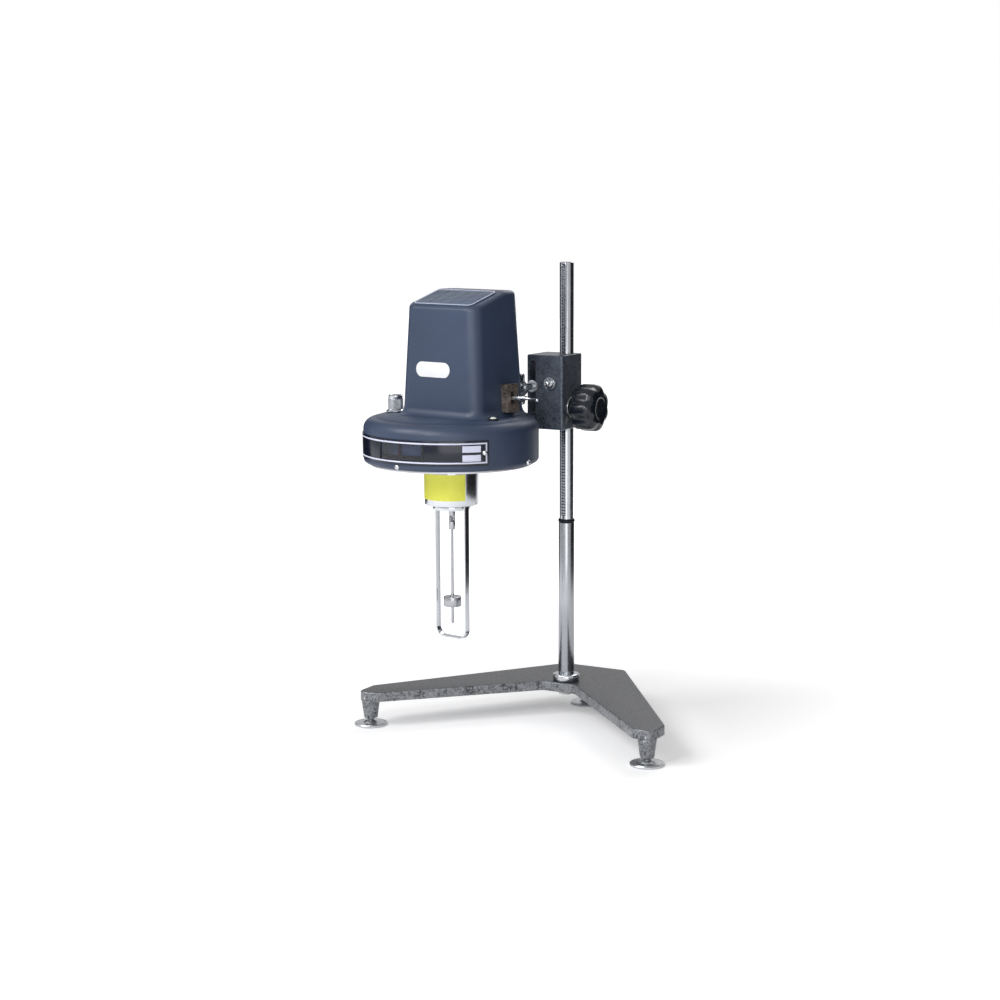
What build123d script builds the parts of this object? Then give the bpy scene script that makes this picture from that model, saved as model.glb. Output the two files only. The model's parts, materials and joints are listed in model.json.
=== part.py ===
from build123d import *
import math
import os

# Rotational viscometer: a measuring head with a synchronous motor, gear train, dial, pointer and
# hairspring hangs from a rack column on a V-shaped cast base with three levelling feet.
# Millimetres, +Z up, the front of the stand faces -Y. Everything is laid out from the column's
# axis and moved at the end so that the origin lies under the middle of the whole object.

# Driving dimensions of the stand
FOOT_X = 162.0
FOOT_Y = -138.0
REAR_FOOT_Y = 48.0
BASE_TOP = 37.5
BASE_THICK = 10.0
BASE_REAR_HALF = 37.0
BASE_REAR_MARGIN = 22.0
TIP_MARGIN = 10.0
TIP_OUTER_RISE = 20.0
TIP_INNER_INSET = 12.0
TIP_INNER_DROP = 8.0
NOTCH_HALF = 19.0
NOTCH_Y = -17.0
BASE_CORNER_R = 8.0
BASE_EDGE_R = 1.6
POCKET_DEPTH = 4.0
POCKET_RIM = 7.0
BOSS_TOP_D = 19.5
BOSS_BOTTOM_D = 14.5
BOSS_BOTTOM = 8.5
PAD_D = 35.0
PAD_RIM = 2.6
PAD_HUB_D = 15.0
PAD_HUB_TOP = 5.4
STUD_D = 8.0
STUD_PIN_D = 6.0
STUD_PIN_BOTTOM = 1.4
STUD_ROOF = 3.0
STUD_TOP_GAP = 3.0

ROD_D = 15.0
ROD_TOP = 487.0
ROD_CHAMFER = 0.8
SLEEVE_D = 17.0
SLEEVE_TOP = 210.5
RING_D = 17.8
RING_H = 4.0
FLANGE_D = 28.5
FLANGE_H = 7.5
SPIGOT_D = 10.0
COLUMN_NUT_AF = 16.0
COLUMN_NUT_H = 6.0
COLUMN_WASHER_D = 19.0
COLUMN_WASHER_H = 2.0
SPIGOT_TAIL = 1.5

FIT = 0.05
LOOSE = 0.3

# Rack, pinion and slider block
MODULE = 1.0
ADDENDUM = 0.8
DEDENDUM = 1.25
BACKLASH = 0.16
PRESSURE_ANGLE = 20.0
PINION_TEETH = 14
RACK_W = 5.0
RACK_PITCH_Y = 6.0
RACK_BACK_Y = 2.8
RACK_BOTTOM_GAP = 4.0
RACK_TOP_MARGIN = 4.0

BLOCK_LEFT = -31.0
BLOCK_RIGHT = 12.0
BLOCK_FRONT = -32.0
BLOCK_REAR = 13.0
BLOCK_BOTTOM = 313.0
BLOCK_H = 78.0
BLOCK_CORNER_R = 3.0
BLOCK_EDGE_R = 1.2
PINION_RISE = 23.0
PINION_W = 5.0
PINION_SHAFT_D = 8.0
JOURNAL_L = 10.0
BUSH_L = 5.5
BUSH_FLANGE_D = 21.0
BUSH_FLANGE_H = 1.6
SLOT_X = -23.6
SLOT_W = 7.0
SLOT_BOTTOM_RISE = 15.5
SLOT_TOP_DROP = 6.0
STUD_MOUNT_Z = 358.0

KNOB_GAP = 4.4
KNOB_D = 50.0
KNOB_W = 26.0
KNOB_LOBES = 7
KNOB_LOBE_R = 9.5
KNOB_HUB_D = 24.0
KNOB_HUB_H = 5.0
KNOB_EDGE = 4.0

BRAKE_X = -1.0
BRAKE_Z = 362.0
BRAKE_D = 8.0
BRAKE_PAD_L = 6.0
BRAKE_HEAD_D = 13.5
BRAKE_HEAD_H = 5.0
BRAKE_HEAD_GAP = 1.0
BRAKE_TIP_D = 6.0
BRAKE_TIP_L = 7.0
BRAKE_FLUTES = 18

MOUNT_STUD_D = 6.5
WASHER_D = 13.0
WASHER_H = 1.5
CLAMP_NUT_D = 20.0
CLAMP_NUT_H = 9.0
CLAMP_FLUTES = 16

# Measuring head, about the spindle's axis
HEAD_X = -72.0
HEAD_Y = -118.0
HEAD_TURN = -10.0
DISC_R = 90.0
DISC_BOTTOM = 286.0
DISC_TOP = 332.0
DISC_WALL = 3.0
DISC_FOOT_R = 4.5
SHOULDER_R = 11.0
PLATEAU_R = 77.0
PLATEAU_H = 1.4
COVER_R = 83.0
COVER_H = 2.4
COVER_LIP_H = 2.0
COVER_LIP_INSET = 8.0
CASING_OPENING_HALF = 32.0
CASING_OPENING_FRONT = -14.0
CASING_OPENING_REAR = 50.0
CASING_OPENING_R = 8.0

TOWER_HALF_BOTTOM = 53.0
TOWER_HALF_TOP = 46.0
TOWER_FRONT_BOTTOM = -22.0
TOWER_FRONT_TOP = -18.0
TOWER_REAR_BOTTOM = 60.0
TOWER_REAR_TOP = 56.0
TOWER_TOP = 460.0
TOWER_WALL = 2.6
TOWER_CORNER_R = 14.0
TOWER_EDGE_R = 5.0
SLANT_DEPTH = 50.0
SLANT_RISE = 15.0

TABLE_SIDE_INSET = 6.5
TABLE_FRONT_INSET = 4.0
TABLE_THICK = 1.2
TABLE_CORNER_R = 7.0
PLATE_W = 45.0
PLATE_H = 15.5
PLATE_X = -6.0
PLATE_Z = 381.0
PLATE_THICK = 0.8

STRIP_HALF_ANGLE = 64.7
STRIP_BOTTOM = 292.6
STRIP_TOP = 317.4
STRIP_THICK = 1.0
WINDOW_ANGLE = 6.0
WINDOW_HALF_ANGLE = 16.0
WINDOW_BOTTOM = 297.0
WINDOW_TOP = 313.0
WINDOW_THICK = 1.6

SPEED_KNOB_X = -65.5
SPEED_KNOB_Y = -12.0
SPEED_KNOB_D = 16.0
SPEED_KNOB_H = 15.0
SPEED_SKIRT_D = 20.0
SPEED_SKIRT_H = 3.0
SPEED_SHAFT_D = 6.0
SPEED_FLUTES = 20

LEVEL_X = 66.6
LEVEL_Y = -12.7
LEVEL_D = 10.0
LEVEL_H = 2.2
LEVEL_LENS_D = 6.8
LEVEL_DOME_H = 1.5

LEVER_Y = 27.0
LEVER_Z = 352.0
LEVER_BLOCK_W = 19.0
LEVER_BLOCK_H = 29.0
LEVER_BLOCK_T = 8.0
LEVER_SLOT_W = 6.6
LEVER_HUB_D = 6.0
LEVER_HUB_L = 9.0
LEVER_COLLAR_D = 4.6
LEVER_COLLAR_L = 7.0
LEVER_ROD_D = 2.4
LEVER_ROD_L = 14.0
LEVER_PIN_D = 2.5
LEVER_SWING = 8.0

REAR_PLATE_W = 44.0
REAR_PLATE_INSET = 8.0
REAR_PLATE_H = 34.0
REAR_PLATE_T = 6.0
REAR_BOSS_D = 17.0
REAR_BOSS_Y = -57.0
REAR_BOSS_DEPTH = 8.0

SWITCH_X = -20.0
SWITCH_Z = 434.0
SWITCH_W = 15.0
SWITCH_H = 21.0
SWITCH_RIM = 1.5
ROCKER_END_GAP = 0.8
ROCKER_SIDE_GAP = 0.3
INLET_X = -17.0
INLET_Z = 358.0
INLET_W = 27.5
INLET_H = 19.5
INLET_BEZEL = 3.0
INLET_DEPTH = 18.0
INLET_FLOOR = 3.0
INLET_PIN_L = 10.0
INLET_PIN_SPACING = 7.0

# Drive inside the head
PLATE_T = 2.5
GEAR_PLATE_Z = 340.0
MOTOR_PLATE_Z = 374.0
PLATE_MARGIN = 4.0
PILLAR_D = 7.0
PILLAR_INSET = 7.0
MOTOR_D = 50.0
MOTOR_H = 38.0
MOTOR_Y = 29.0
GEAR_MODULE = 0.8
MOTOR_TEETH = 15
CLUSTER_TEETH = 45
CLUSTER_PINION_TEETH = 15
OUTPUT_TEETH = 38
GEAR_W = 5.0
UPPER_MESH_Z = 362.0
LOWER_MESH_Z = 350.0
ARBOR_D = 5.0
MOTOR_SHAFT_D = 5.0
DRIVE_D = 11.0
BUSH_OUTER_D = 16.0
BUSH_STAND = 3.0
POINTER_SHAFT_D = 5.0
DIAL_R = 76.0
DIAL_TOP = 312.0
DIAL_RIM_H = 12.0
DIAL_T = 1.5
DIAL_HUB_D = 22.0
DIAL_HUB_H = 5.0
POINTER_HUB_D = 12.0
POINTER_GAP = 3.0
POINTER_W = 2.4
POINTER_T = 1.0
SPRING_TURNS = 4
SPRING_INNER_R = 4.0
SPRING_PITCH = 1.8
SPRING_T = 0.45
SPRING_H = 2.0

# Below the head
COLLAR_D = 56.0
COLLAR_BOTTOM = 241.3
COLLAR_WALL = 4.0
COLLAR_FLOOR = 6.0
LABEL_BOTTOM = 248.0
LABEL_TOP = 275.0
LABEL_THICK = 0.35
LABEL_GAP = 0.1
LABEL_HALF_ANGLE = 75.0
LABEL_ANGLE = -35.0
GUARD_SPACING = 41.0
GUARD_W = 6.5
GUARD_T = 1.6
GUARD_BOTTOM = 100.5
GUARD_BEND_R = 10.0
GUARD_RING_H = 5.0
GUARD_RING_BORE = 18.0
COUPLING_Z = 226.0
COUPLING_D = 7.0
COUPLING_SOCKET = 9.0
COUPLING_FLOOR = 1.0
COUPLING_EAR = 3.2
COUPLING_PIN_D = 1.6
COUPLING_CROSS = 2.6
COUPLING_SLOT = 3.0
COUPLING_EAR_GAP = 0.15
COUPLING_NUT_L = 8.0
SPINDLE_D = 3.0
ROTOR_D = 18.7
ROTOR_H = 10.0
ROTOR_TOP = 144.0
SPINDLE_TIP = 115.5

SCREW_D = 3.0
SCREW_HEAD_D = 5.4
SCREW_HEAD_H = 2.0
SCREW_L = 3.6
CASING_SCREW_Z = 289.8
STRIP_SCREW_INSET = 2.6
BRACKET_SCREW_INSET = 5.0
CASING_SCREW_ANGLES = (4.0, 100.0, 184.0, -80.0)
BRACKET_SCREW_L = 9.0

# Sizes that follow from the driving dimensions
BLOCK_TOP = BLOCK_BOTTOM + BLOCK_H
PINION_R = MODULE * PINION_TEETH / 2
PINION_Y = -(RACK_PITCH_Y + PINION_R + FIT)
PINION_Z = BLOCK_BOTTOM + PINION_RISE
CAVITY_R = PINION_R + MODULE * ADDENDUM + 2 * LOOSE
RACK_BOTTOM = SLEEVE_TOP + RING_H + RACK_BOTTOM_GAP
SLANT_FRONT_Z = TOWER_TOP - SLANT_RISE
SEAT_Z = DISC_TOP + PLATEAU_H
COVER_BOTTOM = DISC_BOTTOM - COVER_H
FRONT_REACH = -HEAD_Y + DISC_R + STRIP_THICK
REAR_REACH = REAR_FOOT_Y + BASE_REAR_MARGIN
COLUMN_Y = (FRONT_REACH - REAR_REACH) / 2

PARTS = {}


def keep(name, shape):
    PARTS[name] = Pos(0, COLUMN_Y, 0) * shape


def head(shape):
    return Pos(HEAD_X, HEAD_Y, 0) * Rot(0, 0, HEAD_TURN) * shape


def group(shapes):
    """One compound of separate solids, each already in its place."""
    return Compound([solid for shape in shapes for solid in shape.solids()])


def rod(diameter, z0, z1, x=0.0, y=0.0):
    return Pos(x, y, (z0 + z1) / 2) * Cylinder(diameter / 2, z1 - z0)


def rod_x(diameter, x0, x1, y, z):
    return Pos((x0 + x1) / 2, y, z) * Rot(0, 90, 0) * Cylinder(diameter / 2, x1 - x0)


def rod_y(diameter, y0, y1, x, z):
    return Pos(x, (y0 + y1) / 2, z) * Rot(90, 0, 0) * Cylinder(diameter / 2, y1 - y0)


def slab(x0, x1, y0, y1, z0, z1):
    centre = Pos((x0 + x1) / 2, (y0 + y1) / 2, (z0 + z1) / 2)
    return centre * Box(x1 - x0, y1 - y0, z1 - z0)


def turned(points):
    """Solid of revolution about Z from (radius, height) points."""
    outline = [Vector(r, 0, z) for r, z in points]
    return revolve(make_face(Polyline(outline, close=True)), Axis.Z)


def gear(teeth, module, width, z0, angle, tooth_there):
    """Involute gear on the Z axis; a tooth, or else a gap, points at the angle given."""
    pitch_r = module * teeth / 2
    base_r = pitch_r * math.cos(math.radians(PRESSURE_ANGLE))
    tip_r = pitch_r + ADDENDUM * module
    root_r = pitch_r - DEDENDUM * module
    half = (math.pi * module / 2 - BACKLASH) / (2 * pitch_r)
    spread = math.tan(math.radians(PRESSURE_ANGLE)) - math.radians(PRESSURE_ANGLE)
    start_r = max(base_r, root_r)
    flank = []
    for i in range(4):
        radius = start_r + (tip_r - start_r) * i / 3
        roll = math.sqrt(max((radius / base_r) ** 2 - 1, 0.0))
        flank.append((radius, half + spread - (roll - math.atan(roll))))
    if root_r < start_r:
        flank.insert(0, (root_r, flank[0][1]))
    phase = math.radians(angle) + (0.0 if tooth_there else math.pi / teeth)
    points = []
    for tooth in range(teeth):
        middle = phase + 2 * math.pi * tooth / teeth
        side = [(r, middle - a) for r, a in flank] + [(r, middle + a) for r, a in reversed(flank)]
        points += [Vector(r * math.cos(a), r * math.sin(a), z0) for r, a in side]
    return extrude(make_face(Polyline(points, close=True)), width, dir=(0, 0, 1))


def fluted(diameter, height, flutes, flute_r):
    """Round head on z = 0 with scalloped flutes, for fingers to grip."""
    body = rod(diameter, 0, height)
    cuts = [
        Rot(0, 0, 360 * i / flutes) * rod(2 * flute_r, -1, height + 1, diameter / 2 + flute_r / 2)
        for i in range(flutes)
    ]
    return body - cuts


def hexagon(across_flats, z0, z1):
    outline = RegularPolygon(across_flats / math.sqrt(3), 6)
    return Pos(0, 0, z0) * extrude(outline, z1 - z0)


def screw(shank=SCREW_L):
    """Domed screw whose head stands on z = 0 and whose shank points down."""
    r = SCREW_HEAD_D / 2
    top = SCREW_HEAD_H
    return turned([
        (0, -shank), (SCREW_D / 2, -shank), (SCREW_D / 2, 0), (r, 0), (r * 0.9, top * 0.5),
        (r * 0.6, top * 0.86), (r * 0.25, top), (0, top),
    ])


def screw_hole(depth=SCREW_L):
    return rod(SCREW_D + 2 * FIT, -depth - 1, 1)


def casing_screw_places():
    """Places of the domed screws round the casing's foot and at the ends of its strip."""
    places = []
    for angle in CASING_SCREW_ANGLES:
        places.append(Rot(0, 0, angle) * Pos(0, -DISC_R, CASING_SCREW_Z) * Rot(90, 0, 0))
    for angle in (STRIP_HALF_ANGLE - STRIP_SCREW_INSET, STRIP_SCREW_INSET - STRIP_HALF_ANGLE):
        middle = (STRIP_BOTTOM + STRIP_TOP) / 2
        spot = Pos(0, -DISC_R - STRIP_THICK, middle) * Rot(90, 0, 0)
        places.append(Rot(0, 0, angle) * spot)
    return places


def bracket_screw_places():
    x = REAR_PLATE_W / 2 - BRACKET_SCREW_INSET
    y = REAR_PLATE_H / 2 - BRACKET_SCREW_INSET
    plane = bracket_plane()
    return [plane * Pos(i * x, j * y, REAR_PLATE_T) for i in (-1, 1) for j in (-1, 1)]


def bracket_plane():
    return wall_plane("rear", TOWER_HALF_BOTTOM - REAR_PLATE_W / 2 - REAR_PLATE_INSET, STUD_MOUNT_Z)


def base_outline():
    tip_x = FOOT_X + TIP_MARGIN
    tip_y = FOOT_Y - TIP_MARGIN
    right = [
        (BASE_REAR_HALF, REAR_FOOT_Y + BASE_REAR_MARGIN),
        (tip_x, FOOT_Y + TIP_OUTER_RISE),
        (tip_x, tip_y),
        (FOOT_X - TIP_INNER_INSET, FOOT_Y - TIP_INNER_DROP),
        (NOTCH_HALF, NOTCH_Y),
    ]
    left = [(-x, y) for x, y in reversed(right)]
    return right + left


def foot_places():
    return {"left": (-FOOT_X, FOOT_Y), "right": (FOOT_X, FOOT_Y), "rear": (0.0, REAR_FOOT_Y)}


def make_base():
    outline = make_face(Polyline(*base_outline(), close=True))
    outline = fillet(outline.vertices(), BASE_CORNER_R)
    underside = BASE_TOP - BASE_THICK
    plate = Pos(0, 0, underside) * extrude(outline, BASE_THICK)
    pocket = Pos(0, 0, underside) * extrude(offset(outline, -POCKET_RIM), POCKET_DEPTH)
    plate = fillet(plate.faces().sort_by(Axis.Z)[-1].edges(), BASE_EDGE_R)
    for x, y in foot_places().values():
        pocket -= rod(BOSS_TOP_D, underside, underside + POCKET_DEPTH, x, y)
    body = plate - pocket
    for x, y in foot_places().values():
        height = underside - BOSS_BOTTOM
        cone = Cone(BOSS_BOTTOM_D / 2, BOSS_TOP_D / 2, height)
        body += Pos(x, y, BOSS_BOTTOM + height / 2) * cone
    for x, y in foot_places().values():
        body -= rod(STUD_D + 2 * FIT, BOSS_BOTTOM - 1, BASE_TOP - STUD_ROOF, x, y)
    body -= rod(SPIGOT_D + 2 * FIT, underside - 1, BASE_TOP + 1)
    keep("base_casting", body)


def make_feet():
    for name, (x, y) in foot_places().items():
        pad = turned([
            (0, 0), (PAD_D / 2 - 0.6, 0), (PAD_D / 2, 0.6), (PAD_D / 2, PAD_RIM - 0.5),
            (PAD_D / 2 - 0.9, PAD_RIM), (PAD_HUB_D / 2, PAD_RIM + 0.6),
            (STUD_PIN_D / 2 + 1.6, PAD_HUB_TOP), (0, PAD_HUB_TOP),
        ])
        pad -= rod(STUD_PIN_D + 2 * FIT, STUD_PIN_BOTTOM - FIT, PAD_HUB_TOP + 1)
        stud = rod(STUD_PIN_D, STUD_PIN_BOTTOM, PAD_HUB_TOP + FIT)
        stud_top = BASE_TOP - STUD_ROOF - STUD_TOP_GAP
        stud += rod(STUD_D, PAD_HUB_TOP + FIT, stud_top)
        keep("foot_pad_" + name, Pos(x, y, 0) * pad)
        keep("foot_stud_" + name, Pos(x, y, 0) * stud)


def make_column():
    seat = BASE_TOP - BASE_THICK + POCKET_DEPTH
    nut_bottom = seat - COLUMN_WASHER_H - COLUMN_NUT_H
    bar = chamfer(rod(ROD_D, BASE_TOP, ROD_TOP).edges().sort_by(Axis.Z)[-1], ROD_CHAMFER)
    bar += rod(SPIGOT_D, nut_bottom - SPIGOT_TAIL, BASE_TOP)
    rack_top = ROD_TOP - RACK_TOP_MARGIN
    half = RACK_W / 2
    bar -= slab(-half - FIT, half + FIT, -ROD_D, -RACK_BACK_Y, RACK_BOTTOM - FIT, rack_top + FIT)
    keep("column_rod", bar)
    washer = rod(COLUMN_WASHER_D, nut_bottom + COLUMN_NUT_H, seat)
    keep("column_washer", washer - rod(SPIGOT_D + 2 * FIT, nut_bottom, BASE_TOP))
    nut = hexagon(COLUMN_NUT_AF, nut_bottom, nut_bottom + COLUMN_NUT_H)
    keep("column_nut", nut - rod(SPIGOT_D + 2 * FIT, nut_bottom - 1, BASE_TOP))
    flange_top = BASE_TOP + FLANGE_H
    flange = turned([
        (ROD_D / 2 + FIT, BASE_TOP), (FLANGE_D / 2 - 0.6, BASE_TOP),
        (FLANGE_D / 2, BASE_TOP + 0.6), (FLANGE_D / 2, flange_top - 1.6),
        (FLANGE_D / 2 - 0.5, flange_top - 0.5), (FLANGE_D / 2 - 1.6, flange_top),
        (ROD_D / 2 + FIT, flange_top),
    ])
    keep("column_flange", flange)
    sleeve = rod(SLEEVE_D, flange_top, SLEEVE_TOP) - rod(ROD_D + 2 * FIT, 0, ROD_TOP)
    keep("column_sleeve", sleeve)
    ring = turned([
        (ROD_D / 2 + FIT, SLEEVE_TOP), (RING_D / 2 - 0.7, SLEEVE_TOP),
        (RING_D / 2, SLEEVE_TOP + RING_H * 0.3), (RING_D / 2, SLEEVE_TOP + RING_H * 0.7),
        (RING_D / 2 - 0.7, SLEEVE_TOP + RING_H), (ROD_D / 2 + FIT, SLEEVE_TOP + RING_H),
    ])
    keep("column_ring", ring)


def rack_teeth():
    """Teeth and gaps in the YZ plane, in step with a tooth at the pinion's height."""
    pitch = math.pi * MODULE
    tan_a = math.tan(math.radians(PRESSURE_ANGLE))
    tip_y = -(RACK_PITCH_Y + ADDENDUM * MODULE)
    root_y = -(RACK_PITCH_Y - DEDENDUM * MODULE)
    half_pitch = (pitch / 2 - BACKLASH) / 2
    half_tip = half_pitch - ADDENDUM * MODULE * tan_a
    half_root = half_pitch + DEDENDUM * MODULE * tan_a
    rack_top = ROD_TOP - RACK_TOP_MARGIN
    first = math.ceil((RACK_BOTTOM + half_root - PINION_Z) / pitch)
    last = math.floor((rack_top - half_root - PINION_Z) / pitch)
    points = [(-RACK_BACK_Y, RACK_BOTTOM), (root_y, RACK_BOTTOM)]
    for step in range(first, last + 1):
        z = PINION_Z + step * pitch
        points += [(root_y, z - half_root), (tip_y, z - half_tip)]
        points += [(tip_y, z + half_tip), (root_y, z + half_root)]
    return points + [(root_y, rack_top), (-RACK_BACK_Y, rack_top)]


def make_rack():
    outline = [Vector(-RACK_W / 2, y, z) for y, z in rack_teeth()]
    bar = extrude(make_face(Polyline(outline, close=True)), RACK_W, dir=(1, 0, 0))
    keep("rack", bar)


def make_slider_block():
    body = slab(BLOCK_LEFT, BLOCK_RIGHT, BLOCK_FRONT, BLOCK_REAR, BLOCK_BOTTOM, BLOCK_TOP)
    body = fillet(body.edges().filter_by(Axis.Z), BLOCK_CORNER_R)
    ends = body.faces().filter_by(Axis.Z).edges()
    body = fillet(ends, BLOCK_EDGE_R)
    body -= rod(ROD_D + 2 * FIT, BLOCK_BOTTOM - 1, BLOCK_TOP + 1)
    body -= rod_x(2 * CAVITY_R, -PINION_W, BLOCK_RIGHT + 1, PINION_Y, PINION_Z)
    body -= rod_x(PINION_SHAFT_D + 2 * FIT, -PINION_W - JOURNAL_L, 0, PINION_Y, PINION_Z)
    body -= rod_y(BRAKE_D + 2 * FIT, BLOCK_FRONT - 1, 0, BRAKE_X, BRAKE_Z)
    slot_bottom = BLOCK_BOTTOM + SLOT_BOTTOM_RISE
    slot_top = BLOCK_TOP - SLOT_TOP_DROP
    half = SLOT_W / 2
    cut = slab(
        SLOT_X - half, SLOT_X + half, BLOCK_FRONT - 1, BLOCK_REAR + 1,
        slot_bottom + half, slot_top - half,
    )
    cut += rod_y(SLOT_W, BLOCK_FRONT - 1, BLOCK_REAR + 1, SLOT_X, slot_bottom + half)
    cut += rod_y(SLOT_W, BLOCK_FRONT - 1, BLOCK_REAR + 1, SLOT_X, slot_top - half)
    keep("slider_block", body - cut)


def make_pinion():
    wheel = gear(PINION_TEETH, MODULE, PINION_W, -PINION_W / 2, 90, False)
    knob_inner = BLOCK_RIGHT + KNOB_GAP + KNOB_HUB_H + KNOB_W / 2
    shaft_start = -PINION_W - JOURNAL_L + LOOSE
    wheel = Pos(0, PINION_Y, PINION_Z) * Rot(0, 90, 0) * wheel
    shaft = wheel + rod_x(PINION_SHAFT_D, shaft_start, knob_inner, PINION_Y, PINION_Z)
    keep("pinion_shaft", shaft)
    bush_start = BLOCK_RIGHT - BUSH_L
    bush = rod_x(2 * (CAVITY_R - FIT), bush_start, BLOCK_RIGHT, PINION_Y, PINION_Z)
    bush += rod_x(BUSH_FLANGE_D, BLOCK_RIGHT, BLOCK_RIGHT + BUSH_FLANGE_H, PINION_Y, PINION_Z)
    hole = rod_x(PINION_SHAFT_D + 2 * FIT, bush_start - 1, BLOCK_RIGHT + 5, PINION_Y, PINION_Z)
    keep("pinion_bush", bush - hole)


def make_lift_knob():
    """Moulded lobed knob: lobes round a core, cut to a turned profile with a domed face."""
    core_r = KNOB_D / 2 - 3.2
    lobes = Circle(core_r)
    for i in range(KNOB_LOBES):
        angle = 360 * i / KNOB_LOBES + 90 / KNOB_LOBES
        lobes += Rot(0, 0, angle) * Pos(KNOB_D / 2 - KNOB_LOBE_R, 0) * Circle(KNOB_LOBE_R)
    lobes = fillet(lobes.vertices(), 2.0)
    prism = extrude(lobes, KNOB_W)
    edge = KNOB_EDGE
    profile = turned([
        (0, 0), (KNOB_D / 2 - edge, 0), (KNOB_D / 2 - edge * 0.3, edge * 0.3),
        (KNOB_D / 2, edge), (KNOB_D / 2, KNOB_W - 1.8 * edge),
        (KNOB_D / 2 - edge * 0.35, KNOB_W - 1.05 * edge), (KNOB_D / 2 - edge, KNOB_W - 0.55 * edge),
        (KNOB_D / 2 - 2.1 * edge, KNOB_W - 0.15 * edge), (KNOB_D / 2 - 3.4 * edge, KNOB_W),
        (0, KNOB_W),
    ])
    body = prism & profile
    body += rod(KNOB_HUB_D, -KNOB_HUB_H, 0.5)
    body -= rod(PINION_SHAFT_D + 2 * FIT, -KNOB_HUB_H - 1, KNOB_W / 2 + FIT)
    start = BLOCK_RIGHT + KNOB_GAP + KNOB_HUB_H
    keep("lift_knob", Pos(start, PINION_Y, PINION_Z) * Rot(0, 90, 0) * body)


def make_brake():
    reach = math.sqrt((ROD_D / 2) ** 2 - (abs(BRAKE_X) + BRAKE_D / 2) ** 2)
    pad_end = -ROD_D / 2 - BRAKE_PAD_L
    pad = rod_y(BRAKE_D, pad_end, -reach, BRAKE_X, BRAKE_Z)
    pad -= rod(ROD_D + 2 * FIT, BRAKE_Z - BRAKE_D, BRAKE_Z + BRAKE_D)
    keep("brake_pad", pad)
    head_start = BLOCK_FRONT - BRAKE_HEAD_GAP
    head_end = head_start - BRAKE_HEAD_H
    bolt = rod_y(BRAKE_D, head_start, pad_end, BRAKE_X, BRAKE_Z)
    grip = fluted(BRAKE_HEAD_D, BRAKE_HEAD_H, BRAKE_FLUTES, 0.7)
    bolt += Pos(BRAKE_X, head_start, BRAKE_Z) * Rot(90, 0, 0) * grip
    bolt += rod_y(BRAKE_TIP_D, head_end - BRAKE_TIP_L, head_end, BRAKE_X, BRAKE_Z)
    keep("brake_screw", bolt)


def make_clamp():
    front = BLOCK_FRONT - WASHER_H
    rear = BLOCK_REAR + WASHER_H
    nut_end = rear + CLAMP_NUT_H
    stud = rod_y(MOUNT_STUD_D, REAR_BOSS_Y - REAR_BOSS_DEPTH, nut_end + 3, SLOT_X, STUD_MOUNT_Z)
    keep("mounting_stud", stud)
    hole = rod_y(MOUNT_STUD_D + 2 * FIT, front - 5, nut_end + 5, SLOT_X, STUD_MOUNT_Z)
    washers = [
        rod_y(WASHER_D, front, BLOCK_FRONT, SLOT_X, STUD_MOUNT_Z) - hole,
        rod_y(WASHER_D, BLOCK_REAR, rear, SLOT_X, STUD_MOUNT_Z) - hole,
    ]
    keep("clamp_washers", group(washers))
    nut = fluted(CLAMP_NUT_D, CLAMP_NUT_H, CLAMP_FLUTES, 1.2)
    nut = Pos(SLOT_X, nut_end, STUD_MOUNT_Z) * Rot(90, 0, 0) * nut
    keep("clamp_nut", nut - hole)


def casing_profile(shrink):
    """Half section of the round casing as a face in the XZ plane, drawn in by the wall."""
    r = DISC_R - shrink
    top = DISC_TOP - shrink
    foot = DISC_FOOT_R - min(shrink, DISC_FOOT_R - 1)
    shoulder = SHOULDER_R - shrink
    bottom = DISC_BOTTOM + shrink
    lines = [
        Line((0, bottom), (r - foot, bottom)),
        RadiusArc((r - foot, bottom), (r, bottom + foot), -foot),
        Line((r, bottom + foot), (r, top - shoulder)),
        RadiusArc((r, top - shoulder), (r - shoulder, top), -shoulder),
        Line((r - shoulder, top), (0, top)),
        Line((0, top), (0, bottom)),
    ]
    return Plane.XZ * make_face(lines)


def sector(radius, half_angle, middle, z0, z1):
    """Wedge about Z; angles count from the head's front, -Y, towards +X."""
    steps = [middle - half_angle + 2 * half_angle * i / 8 for i in range(9)]
    far = radius / math.cos(math.radians(half_angle / 8))
    edge = [
        Vector(far * math.sin(math.radians(a)), -far * math.cos(math.radians(a)), z0)
        for a in steps
    ]
    face = make_face(Polyline([Vector(0, 0, z0)] + edge, close=True))
    return extrude(face, z1 - z0, dir=(0, 0, 1))


def ring_sector(inner_r, outer_r, half_angle, middle, z0, z1):
    ring = rod(2 * outer_r, z0, z1) - rod(2 * inner_r, z0 - 1, z1 + 1)
    return ring & sector(outer_r + 5, half_angle, middle, z0, z1)


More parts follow.
